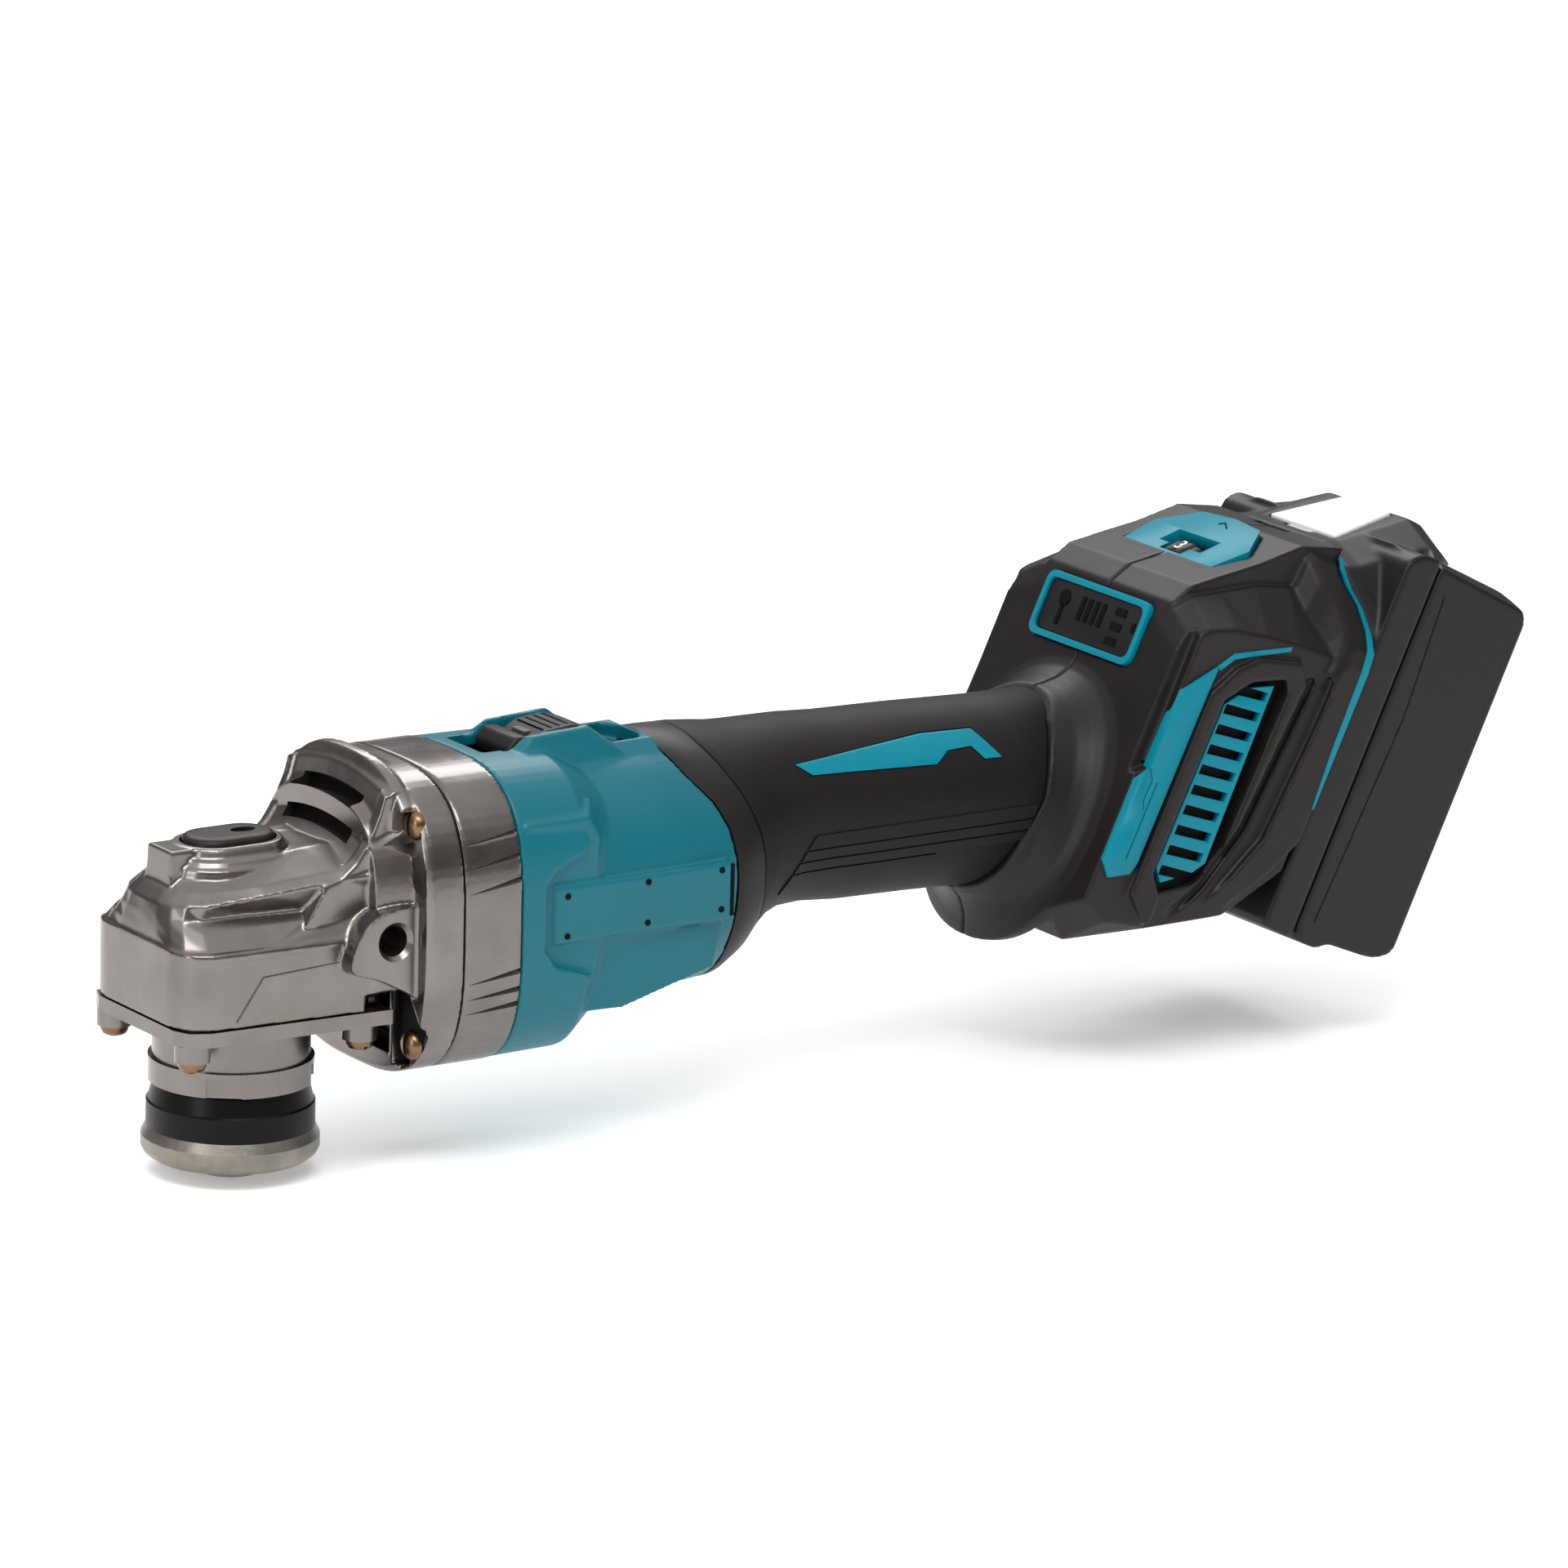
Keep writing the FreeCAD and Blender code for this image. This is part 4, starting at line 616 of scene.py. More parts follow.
def head_screws():
    spots = [(x, sy * y) for x, y in ((-20.0, 17.2), (22.0, 18.5)) for sy in (-1, 1)]
    plate = [screw((x, y, 32.0), (0, 0, -1), 3.2, 18.0) for x, y in spots]
    piece(join(plate), "plate_screws", "tool", SCREW, ["bearing_box_screws"])
    corners = [(sy * 25.2, MOTOR_Z + sz * 25.2) for sy in (-1, 1) for sz in (-1, 1)]
    flange = [screw((32.2, y, z), (-1, 0, 0), 3.3, 29.0) for y, z in corners]
    piece(join(flange), "flange_screws", "tool", SCREW, ["gear_housing_screws"])


def slot_shade_sheet():
    """Black sheet behind the hood's slots: painted shade, so the slots read dark inside."""
    wall = [(x + 0.2, z) for x, z in AIR_FACE] + [(x + 1.2, z) for x, z in reversed(AIR_FACE)]
    return piece(prism_y(wall, -14.6, 14.6), "slot_shade_sheet", "tool", INK_AND_SHADE)


def pocket_dark_sheets():
    """Black sheet in the pocket under each side of the head, round the low flange screw, that makes the
    pocket read dark.
    """
    sheets = []
    for side in (-1, 1):
        sheets.append(prism_x([(side * y, z) for y, z in POCKET_DARK_SHEET], 31.7, 32.5))
    return piece(join(sheets), "pocket_dark_sheets", "tool", INK_AND_SHADE)


def front_panel_lines():
    """Raised hairline panels on the head's front and sides."""
    lines = []
    front = [(-11.5, 43.0), (-10.0, 52.5), (11.0, 52.5), (12.5, 43.0)]
    for i in range(3):
        (y0, z0), (y1, z1) = front[i], front[i + 1]
        lines.append(rod((-24.28, y0, z0), (-24.28, y1, z1), 0.18, count=8))
    for side in (-1, 1):
        lines.append(rod((-12, side * 22.8, 41.0), (-5.5, side * 23.05, 50.5), 0.22, count=8))
        lines.append(rod((-5.5, side * 23.05, 50.5), (17, side * 23.95, 52.0), 0.22, count=8))
    return piece(join(lines), "head_panel_lines", "tool", CAST)


def lock_cap():
    cap = boss_stack(BUTTON_HALF, (-0.3, 74.4), (0.0, 74.9), (0.0, 77.1), (-0.5, 77.7), (-1.4, 78.0),
                     (-3.4, 78.0))
    dimple = rod((1.4, 0, 77.2), (1.4, 0, 79.0), 1.9, count=24)
    placed(dimple, Matrix.Scale(1.6, 4, Vector((1, 0, 0))))
    hollow = rod((-9.0, 0, 74.0), (-9.0, 0, 75.4), 3.3)
    pin_seat = rod((-9.0, 0, 74.0), (-9.0, 0, 76.5), 1.8)
    cap = carve(cap, [dimple, hollow, pin_seat])
    return piece(cap, "lock_button", "shaft_lock", BLACK, ["shaft_lock_cap"])


# ---------------- aluminium ring and motor housing
def ring_skin(dz):
    """Half width of the ring's skin at a height above or below its centre."""
    return 33.5 * (1 - abs(dz / 35.0) ** HEAD_POWER) ** (1 / HEAD_POWER)


def motor_ring():
    outer = barrel((40.1, MOTOR_Z, 33.1, 34.6), (40.7, MOTOR_Z, 33.5, 35.0), (54.9, MOTOR_Z, 33.5, 35.0))
    cutters = [barrel((49.0, MOTOR_Z, 29.5, 31.0), (56.0, MOTOR_Z, 29.5, 31.0)),
               rod((39, 0, MOTOR_Z), (50, 0, MOTOR_Z), 11.2),
               block(39, 50, -14, 14, 69.5, 83), block(39, 50, -14, 14, 29, 42.5)]
    outer = moulded(carve(outer, cutters), 0.5, 2)
    grooves = []
    for dz, rise in ((20.4, 2.0), (15.3, 2.0), (9.7, 2.4), (-11.0, 2.0), (-14.6, 1.3), (-18.1, 1.2)):
        z = MOTOR_Z + dz
        y = ring_skin(dz)
        front = ((y + 0.8, z + 0.6), (y + 0.8, z - 0.6), (y - 0.05, z))
        z += rise
        y = ring_skin(dz + rise)
        rear = ((y + 1.0, z + 1.4), (y + 1.0, z - 1.2), (y - 1.3, z))
        for side in (-1, 1):
            ends = ((41.0, front), (56.0, rear))
            grooves.append(loft([[(x, side * y, z) for y, z in end] for x, end in ends]))
    return piece(carve(outer, grooves), "motor_ring", "tool", RING, ["bearing_carrier"])


SCOOP = ((79.7, 74.3), (70.0, 70.6), (64.0, 68.1), (61.2, 64.2), (61.2, 50.0), (64.5, 46.2), (75.3, 42.5),
         (100.0, 42.0), (100.0, 80.0), (80.5, 80.0))
SIDE_PLATE = ((64.4, 51.0), (64.4, 64.2), (111.2, 64.6), (111.2, 51.4))


def motor_shell():
    square = barrel((55.1, MOTOR_Z, 33.3, 34.8), (72.5, MOTOR_Z, 33.0, 34.5), (84.0, 57.4, 27.0, 28.0, 3.0))
    tube = barrel((60.0, 56.5, 30.4, 31.2, 2.2), (82.0, 57.4, 30.8, 31.0, 2.15),
                  (97.0, 58.6, 30.6, 30.2, 2.1), (109.0, 59.2, 29.9, 29.9, 2.0),
                  (118.0, 59.5, 29.4, 29.4, 2.0))
    saddle = [(-14.5, 80), (-12.6, 86.5), (-9.0, 89.4), (9.0, 89.4), (12.6, 86.5), (14.5, 80)]
    square = carve(square, sided(SCOOP, 30.9, 45.0))
    belly = [(60.0, 34.0), (60.0, 49.6), (110.4, 50.4), (108.0, 40.0), (84.0, 33.5)]
    cheek = [(60.0, 66.0), (60.0, 82.0), (76.5, 82.0), (79.5, 77.0), (79.0, 72.0), (64.0, 67.0)]
    solids = [square, tube, prism_x(saddle, 56.4, 104.0)]
    for side in (-1, 1):
        low = [(60.5, 14.2, 84.5), (99.0, 13.6, 83.5), (99.0, 8.1, 85.0), (60.5, 8.1, 86.5)]
        high = [(71.0, 10.0, 93.0), (85.5, 10.2, 93.8), (86.5, 8.1, 94.2), (70.0, 8.1, 93.4)]
        solids.append(loft([[(x, side * y, z) for x, y, z in ring] for ring in (low, high)]))
        solids += [side_prism(SIDE_PLATE, side, 26.0, 31.9), side_prism(belly, side, 16.0, 29.6)]
        solids.append(across((side * 26.0, cheek), (side * 30.8, [(x - 3.0, z - 3.0) for x, z in cheek])))
    well = rounded([(59.3, -8), (100.5, -8), (103.0, -4), (103.0, 4), (100.5, 8), (59.3, 8)], 1.2)
    well = prism_z(well, 85.6, 99.0)
    trim = [well, side_region(BAND_FRONT, 140.0, -0.15), block(66.0, 82.8, -3.3, 3.3, 80.0, 96.0),
            block(40, 120, -40, 40, 10, 21.1)]
    room = barrel((54.0, MOTOR_Z, 30.6, 32.2), (72.0, MOTOR_Z, 30.2, 31.8), (82.0, 57.4, 26.6, 28.0, 2.4))
    room = union([room, barrel((60.0, 56.5, 28.0, 28.6, 2.2), (121.0, 59.5, 26.6, 26.6, 2.0))])
    body = moulded(carve(union(solids), trim + [room]), 0.5, 3)
    return piece(body, "motor_shell", "tool", TEAL, ["motor_housing"])


def plate_details():
    """Six small dots, and a black strip at the end of the raised side plate that paints the shade in its
    slot.
    """
    marks = []
    for side in (-1, 1):
        for x, z in ((67.6, 61.9), (67.6, 52.7), (88.8, 62.6), (88.8, 53.2), (108.4, 62.9), (108.4, 53.8)):
            marks.append(rod((x, side * 31.2, z), (x, side * 32.05, z), 0.75, count=16))
        marks.append(side_prism([(110.9, 52.0), (110.9, 64.0), (111.7, 64.0), (111.7, 52.0)],
                                side, 30.5, 32.0))
    return piece(join(marks), "plate_dots_and_slot_shade", "tool", INK_AND_SHADE)


def switch_button():
    profile = [(66.8, 87.2), (66.4, 90.0), (68.6, 92.6), (71.6, 92.6), (73.2, 91.4), (77.0, 93.2),
               (84.0, 94.0), (88.2, 92.6), (91.4, 90.4), (91.8, 87.2)]
    knob = bevelled(prism_y(profile, -7.3, 7.3), 0.9, 3, 20)
    grooves = [block(x, x + 0.6, -5.6, 5.6, 92.6, 97.0) for x in (76.5, 78.6, 80.7, 82.8)]
    well = block(73.4, 81.6, -2.8, 2.8, 86.0, 90.8)
    return piece(carve(knob, grooves + [well]), "slide_knob", "switch_slide", BLACK, ["switch_knob"])


def switch_apron():
    """Thin dark shutter under the knob that fills the floor of the recess."""
    sheet = bevelled(block(59.9, 99.5, -7.4, 7.4, 85.8, 86.6), 0.2)
    return piece(carve(sheet, [block(66.0, 82.8, -3.3, 3.3, 80.0, 96.0)]), "switch_floor", "tool", INK_AND_SHADE)


# ---------------- grip
INLAY = ((137.5, 80.4), (141.0, 78.0), (175.0, 76.6), (179.0, 79.0), (185.8, 79.2), (188.4, 76.3),
         (193.2, 76.2), (188.0, 82.2), (174.0, 82.6))


def grip_length(front, rear, far_x, gap):
    """Solid length of the grip between two side-view lines, with its ends eased."""
    tube = keep(grip_tube(0.0), side_region(front, far_x, 0.15))
    return bevelled(carve(tube, [side_region(rear, far_x, -gap)]), 0.5)


def band():
    tube = carve(grip_length(BAND_FRONT, BAND_REAR, 140.0, 0.15), [grip_tube(SLEEVE_DEPTH)])
    return piece(tube, "collar_ring", "tool", BLACK, ["collar_band"])


def sleeve():
    tube = grip_length(BAND_REAR, SLEEVE_REAR, 240.0, 0.2)
    tube = carve(tube, [grip_tube(SLEEVE_DEPTH)] + sided(grown(INLAY, 0.3), 5.0, 30.0))
    return piece(tube, "grip_cover", "tool", GRIP, ["grip_sleeve"])


def grip_panel():
    """Ribbed pad on each side of the grip, standing a hair proud of the sleeve."""
    parts = []
    outline = [(140.5, 64.6), (201.5, 64.8), (198.0, 56.4), (136.8, 54.8), (131.8, 51.2), (139.8, 64.0)]
    for side in (-1, 1):
        pad = keep(grip_tube(-0.35), side_prism(outline, side, 8.0, 30.0))
        pad = carve(pad, [grip_tube(0.4)])
        slots = [side_prism([(132.0, z), (200.0, z + 0.3), (200.0, z + 0.75), (132.0, z + 0.45)],
                            side, 8.0, 30.0) for z in (55.6, 58.3, 61.0)]
        parts.append(carve(pad, slots))
    return piece(join(parts), "grip_side_pads", "tool", GRIP)


def inlays():
    parts = []
    for side in (-1, 1):
        strip = keep(grip_tube(-0.3), side_prism(INLAY, side, 5.0, 30.0))
        parts.append(carve(strip, [grip_tube(1.2)]))
    return piece(bevelled(join(parts), 0.15), "grip_stripes", "tool", TEAL_TRIM, ["grip_inlays"])


# ---------------- rear housing (pack frame)
def plan_ring(u, narrow):
    """Cross-section of the housing at local height u: a broad face with tight front corners."""
    corner = ((-39.4, 27.0), (-38.7, 34.0), (-36.6, 37.6), (-32.0, 39.3), (12.0, 39.3))
    half = [(-39.4, 0)] + [(v, y - narrow) for v, y in corner] + [(12.0, 0)]
    right = [(v, y, u) for v, y in half]
    left = [(v, -y, u) for v, y in half]
    return right + left[-2:0:-1]


UNDERSIDE = ((11.9, 14.0), (0.2, -0.6), (-18.0, -12.6), (-33.0, -19.8))
SIDE_VIEW = ((-39.4, -14.0), (-39.4, 56.0), (-38.2, 62.0), (-34.6, 67.6), (-27.3, 72.6), (-18.5, 78.5),
             (-9.0, 86.0), (2.4, 89.4), (2.8, 77.0), (11.9, 71.0)) + UNDERSIDE
SHOULDER_IN = ((-39.4, -14.0), (-39.4, 55.0), (-38.2, 60.6), (-34.6, 65.0), (-27.5, 68.4), (-18.5, 73.0),
               (-9.0, 76.0), (2.4, 76.4), (2.8, 74.6), (11.9, 70.0)) + UNDERSIDE
SHOULDER_OUT = ((-39.2, -9.0), (-39.2, 50.0), (-38.0, 55.0), (-34.6, 59.0), (-27.5, 61.6), (-18.5, 63.0),
                (-9.0, 64.0), (2.4, 64.6), (2.8, 64.7), (11.9, 65.4), (11.9, 14.0), (0.2, -0.6),
                (-17.0, -9.0), (-31.0, -12.0))
HOOP = ((21.0, -8.0, 2.4, 86.8), (24.0, -8.0, 2.4, 86.2), (27.4, -7.0, 2.6, 84.2), (30.4, -4.6, 4.4, 81.0),
        (33.4, -0.6, 7.4, 77.6), (36.6, 2.6, 10.4, 72.6), (38.6, 4.6, 11.9, 68.6), (39.2, 5.2, 11.9, 64.0))


def flank(side):
    return across((side * 24.0, SHOULDER_IN), (side * 26.6, SHOULDER_IN), (side * 37.2, SHOULDER_OUT))


def hoop(side):
    """Raised band that wraps the rear edge of the housing, over the shoulder and down the side."""
    stations = []
    for y, front, rear, top in HOOP:
        foot = min(top - 8.0, 60.0)
        stations.append((side * y, ((front - 2.0, foot), (front, top - 1.5), (front + 1.4, top),
                                    (rear - 0.6, top), (rear, top - 0.8), (rear, foot))))
    return across(*stations)


HOOP_LEG = ((4.4, 62.0), (11.9, 64.0), (11.9, 22.0), (7.2, 13.0), (-1.0, 1.0), (-8.0, -3.0), (1.6, 19.0),
            (3.6, 44.0))


def neck():
    """Flare from the grip to the front face: the rings lean over until they lie in that face."""
    rings = []
    for x, z, ry, rz, lean in ((186.0, 64.3, 21.8, 21.8, 0.0), (192.0, 64.0, 21.9, 22.1, 0.08),
                               (198.0, 63.2, 22.3, 23.0, 0.2), (203.0, 62.2, 23.0, 24.2, 0.32),
                               (206.6, 61.2, 24.4, 25.8, 0.4), (208.8, 60.4, 26.4, 27.6, 0.44),
                               (210.2, 60.0, 28.8, 29.6, 0.462), (211.0, 60.0, 31.4, 31.2, 0.462),
                               (214.0, 60.0, 33.0, 31.6, 0.462)):
        ring = section(x, z, ry, rz, 2.2)
        rings.append([(px + lean * (pz - z), py, pz) for px, py, pz in ring])
    return placed(loft(rings), TO_PACK)


SIDE_PAD = ((-28.4, -4.0), (-28.4, 46.0), (-24.0, 53.4), (-19.0, 57.6), (-7.0, 60.6), (-3.4, 56.0),
            (-6.2, 20.0), (-11.0, 4.0), (-17.5, -8.0), (-21.6, -9.4))
GRILLE = ((-23.8, 3.9), (-23.1, 44.7), (-17.9, 50.4), (-11.6, 53.0), (-11.0, 9.0), (-13.7, 5.7), (-21.1, 1.0))
GRILLE_WELL = ((-24.6, 2.6), (-24.0, 45.4), (-18.4, 51.8), (-9.4, 55.4), (-7.4, 52.4), (-8.2, 12.4),
               (-11.6, 3.6), (-20.6, -1.8))
PAD_GROOVE = ((-2.4, 57.4), (0.2, 58.6), (-1.0, 44.0), (-3.0, 19.4), (-7.8, 4.0), (-13.6, -7.0),
              (-16.6, -8.4), (-10.4, 4.0), (-5.6, 20.0))
FRONT_NOTCH = ((-36.0, 24.6), (-39.8, 21.6), (-42.0, 21.6), (-42.0, 59.6), (-38.6, 59.6), (-36.2, 57.0))
BLADE_GAP = ((-30.6, 4.0), (-29.4, 47.0), (-28.4, 47.0), (-28.4, 2.0))
BLADE = ((-39.0, 1.0), (-39.0, 21.0), (-36.3, 24.4), (-36.0, 43.9), (-28.6, 52.2), (-29.3, 3.2), (-30.2, 0.2),
         (-35.8, -2.4))
BLADE_LINE = ((-28.6, 52.2), (-25.4, 56.4), (-10.5, 63.0), (-10.3, 61.9), (-24.7, 55.2), (-27.6, 51.4))


def housing_hollow():
    inner = [(-36.4, -13.0), (-36.4, 57.0), (-27.8, 67.0), (-11.0, 80.0), (-3.4, 74.0), (1.9, 66.0),
             (1.9, 2.0), (-18.4, -9.6)]
    wide = [(-36.4, -8.0), (-36.4, 55.0), (-4.0, 57.0), (1.9, 57.0), (1.9, 2.0), (-18.4, -7.6)]
    return [prism_y(inner, -22.0, 22.0), prism_y(wide, -34.4, 34.4)]


def rail_room():
    return [block(4.4, 8.9, -24.6, 24.6, 3.0, 99.0), block(8.8, 14.0, -20.6, 20.6, 3.0, 99.0),
            block(-0.5, 5.0, -6.5, 6.5, 62.0, 99.0)]


def neck_hole():
    return placed(barrel((180.0, 64.4, 19.0, 19.0, 2.0), (198.0, 63.6, 20.0, 20.0, 2.0),
                         (222.0, 63.0, 22.0, 22.0, 2.0)), TO_PACK)


def rear_housing():
    """Right half; the left one is its mirror image across the seam on the centre line."""
    deck = prism_y(SIDE_VIEW, -25.2, 25.2)
    solids = [deck, flank(1), flank(-1), neck()]
    for side in (1, -1):
        solids += [hoop(side), side_prism(HOOP_LEG, side, 34.0, 39.2)]
    body = union(solids + sided(SIDE_PAD, 34.0, 39.1))
    plan = [plan_ring(-24.0, 10.0), plan_ring(-10.0, 4.6), plan_ring(8.0, 0.0), plan_ring(95.0, 0.0)]
    body = keep(body, union([loft(plan), block(-120, -20, -40, 40, -60, 90)]))
    cuts = []
    for outline, floor in ((GRILLE_WELL, 35.4), (PAD_GROOVE, 35.6), (FRONT_NOTCH, 34.2), (BLADE_GAP, 36.2)):
        cuts += sided(outline, floor, 45.0)
    grip_end = placed(side_region(SLEEVE_REAR, 100.0, 0.2), TO_PACK)
    cuts += [grip_end, pad_shape(0.2), panel_recess(), dial_room(), neck_hole()]
    cuts += housing_hollow() + rail_room()
    half = carve(keep(body, block(-140, 60, 0.03, 60, -60, 120)), cuts)
    return moulded(half, 0.45, 6)


def housing_parts():
    right = rear_housing()
    left = mirrored(right)
    piece(right, "rear_half_right", "tool", BLACK, ["handle_right"], local=True, sharp=75)
    piece(left, "rear_half_left", "tool", BLACK, ["handle_left"], local=True, sharp=75)


PAD_PLAN = ((246.6, -17.0), (246.6, 17.0), (261.0, 19.0), (269.6, 11.4), (270.8, 0.0), (269.6, -11.4),
            (261.0, -19.0))
PAD_SLOPE = math.radians(16.3)


def pad_shape(grow, lift=0.0):
    rings = []
    for depth in (-3.6, lift):
        ring = []
        for x, y in PAD_PLAN:
            mid = Vector((259.0, 0.0))
            p = mid + (Vector((x, y)) - mid) * (1 + grow / 14.0)
            ring.append((p.x, p.y, 113.5 + (p.x - 248.0) * math.tan(PAD_SLOPE) + depth))
        rings.append(ring)
    return placed(loft(rings), TO_PACK)


DIAL_PLACE = Matrix.Translation(Vector((258.0, 0, 105.2))) @ Matrix.Rotation(-PAD_SLOPE, 4, "Y")
WINDOW_PLACE = Matrix.Translation(Vector((257.6, 0, 116.5))) @ Matrix.Rotation(-PAD_SLOPE, 4, "Y")


def dial_room():
    return placed(rod((-3.2, 0, 0), (3.2, 0, 0), 11.6, count=48), TO_PACK @ DIAL_PLACE)


def dial_plate():
    window = placed(block(-3.1, 3.1, -8.2, 8.2, -6.0, 6.0), TO_PACK @ WINDOW_PLACE)
    plate = bevelled(carve(pad_shape(-0.1, 0.05), [window, dial_room()]), 0.3)
    tip = (268.0, 0.4, 119.4)
    tick = [rod((266.2, -2.6, 118.87), tip, 0.22, count=8), rod(tip, (266.9, 1.6, 119.08), 0.22, count=8)]
    piece(join(tick), "dial_pointer", "tool", INK_AND_SHADE)
    return piece(plate, "dial_plate", "tool", TEAL_TRIM, ["dial_pad"], local=True)


def dial_digit(index):
    """One of the numerals 1 to 6 that run round the rim of the dial."""
    text = bpy.data.curves.new("digit", "FONT")
    text.body = str(index + 1)
    text.size = 5.0
    text.extrude = 0.1
    text.align_x = "CENTER"
    text.align_y = "CENTER"
    source = bpy.data.objects.new("digit", text)
    bpy.context.scene.collection.objects.link(source)
    graph = bpy.context.evaluated_depsgraph_get()
    mesh = bpy.data.meshes.new_from_object(source.evaluated_get(graph))
    bpy.data.objects.remove(source)
    digit = bpy.data.objects.new("digit", mesh)
    bpy.context.scene.collection.objects.link(digit)
    upright = Matrix.Translation(Vector((0, 0, 10.9))) @ Matrix.Rotation(math.radians(-90), 4, "Z")
    around = Matrix.Rotation(math.radians(60 * index - 120), 4, "X")
    return placed(digit, around @ upright)


def dial_wheel():
    rings = []
    for x, r in ((-2.7, 9.9), (-2.5, 10.6), (-2.0, 10.9), (2.0, 10.9), (2.5, 10.6), (2.7, 9.9)):
        ring = []
        for i in range(144):
            t = 2 * math.pi * i / 144
            notch = 0.35 if i % 6 < 2 else 0.0
            ring.append((x, (r - notch) * math.cos(t), (r - notch) * math.sin(t)))
        rings.append(ring)
    wheel = carve(loft(rings), [rod((-4, 0, 0), (4, 0, 0), 2.0)])
    digits = placed(join([dial_digit(i) for i in range(6)]), DIAL_PLACE)
    piece(digits, "dial_digits", "speed_dial", WHITE)
    return piece(placed(wheel, DIAL_PLACE), "dial_wheel", "speed_dial", BLACK, ["speed_dial"])


PANEL = (-20.5, 20.5, 44.2, 60.2)


def panel_shape(inset, v0, v1):
    y0, y1, u0, u1 = PANEL
    outline = rounded([(y0 + inset, u0 + inset), (y1 - inset, u0 + inset), (y1 - inset, u1 - inset),
                       (y0 + inset, u1 - inset)], 3.2 - inset * 0.5, 5)
    return prism_x(outline, v0, v1)


def panel_recess():
    return panel_shape(0.0, -45.0, -38.2)


def panel_parts():
    frame_ring = carve(panel_shape(0.1, -40.4, -38.3), [panel_shape(1.7, -42.0, -37.0)])
    piece(bevelled(frame_ring, 0.25), "panel_frame", "tool", TEAL_TRIM, ["status_bezel"], local=True)
    plate = panel_shape(1.75, -39.7, -38.3)
    plate = piece(bevelled(plate, 0.15), "panel_plate", "tool", SMOKED, ["status_panel"], local=True)
    marks = [block(-39.95, -39.6, y, y + 1.5, 50.6, 56.4) for y in (-4.6, -1.9, 0.8, 3.5)]
    marks += [block(-39.95, -39.6, -12.6, -8.4, u, u + 1.9) for u in (47.6, 51.2, 54.8)]
    marks += [block(-39.95, -39.6, -17.4, -16.2, 52.0, 54.4)]
    marks += [rod((-39.6, 11.6, 54.6), (-39.95, 11.6, 54.6), 2.0, count=20)]
    marks += [block(-39.95, -39.6, 11.0, 12.2, 48.0, 53.2)]
    piece(join(marks), "panel_marks", "tool", INK_AND_SHADE, local=True)


def grille_parts():
    parts = []
    for side in (-1, 1):
        plate = side_prism(GRILLE, side, 35.9, 38.0)
        slots = []
        for i in range(10):
            u = 2.6 + 5.0 * i
            slot = [(-22.6, u), (-12.3, u + 1.2), (-12.3, u + 3.4), (-22.6, u + 2.4)]
            slots.append(prism_y(slot, side * 35.0, side * 41.0))
        parts.append(carve(plate, slots))
    piece(bevelled(join(parts), 0.2), "vent_louvres", "tool", TEAL_TRIM, ["vent_grilles"], local=True)
    # Black sheet at the floor of each vent well: painted shade, seen through and round the louvres.
    piece(join(sided(GRILLE_WELL, 34.6, 35.9)), "vent_well_shade", "tool", INK_AND_SHADE, local=True)


def rear_stripe(side):
    """Ribbon along the rear edge: down over the shoulder, then down the side to a point."""
    path = ((2.5, 26.2, 86.9, 0.5), (3.0, 28.4, 84.1, 1.3), (4.7, 30.8, 80.9, 1.5), (7.6, 33.6, 77.6, 1.6),
            (10.5, 36.7, 72.7, 1.8), (11.7, 38.6, 68.8, 2.0), (11.8, 39.1, 64.0, 1.9),
            (11.8, 39.1, 44.0, 1.4), (11.8, 39.1, 30.0, 0.4))
    out = 0.27
    rings = []
    for v, y, u, width in path:
        rings.append([(v - width, side * (y - 1.0), u + width * 0.3), (v, side * (y - 1.0), u),
                      (v + 0.2, side * (y + out), u), (v - width, side * (y + out), u + width * 0.3)])
    return loft(rings)


def trim_parts():
    blades = []
    for side in (-1, 1):
        blade = side_prism(BLADE, side, 35.0, 38.0)
        line = side_prism(BLADE_LINE, side, 35.6, 37.6)
        groove = prism_y([(-33.2, 3.0), (-33.0, 22.0), (-32.5, 22.0), (-32.7, 3.0)], side * 37.6, side * 40.0)
        step = prism_y([(-36.3, 24.4), (-34.6, 22.0), (-34.8, 17.0), (-33.8, 15.0), (-33.5, 15.2),
                        (-34.4, 17.2), (-34.2, 22.2), (-36.0, 24.6)], side * 37.6, side * 40.0)
        blades += [carve(blade, [groove, step]), line]
    piece(bevelled(join(blades), 0.25), "side_blades", "tool", TEAL_TRIM, ["side_trims"], local=True)
    stripes = bevelled(join([rear_stripe(1), rear_stripe(-1)]), 0.15)
    piece(stripes, "rear_stripes", "tool", TEAL_TRIM, ["rear_trims"], local=True)


# ---------------- battery pack (pack frame)
BUTTON = ((7.6, 90.7), (25.3, 102.6))


def press_direction():
    along = Vector((BUTTON[1][0] - BUTTON[0][0], 0, BUTTON[1][1] - BUTTON[0][1])).normalized()
    return Vector((along.z, 0, -along.x))


def button_shape(gap, out, depth):
    front = Vector((BUTTON[0][0], 0, BUTTON[0][1]))
    rear = Vector((BUTTON[1][0], 0, BUTTON[1][1]))
    along = (rear - front).normalized()
    front = front + (rear - front) * 0.06 - along * gap
    rear = rear - (rear - front) * 0.06 + along * gap
    inward = press_direction()
    rings = []
    for offset in (-out, depth):
        corners = [front + Vector((0, -13.0 - gap, 0)), rear + Vector((0, -9.6 - gap, 0)),
                   rear + Vector((0, 9.6 + gap, 0)), front + Vector((0, 13.0 + gap, 0))]
        rings.append([c + inward * offset for c in corners])
    return loft(rings)


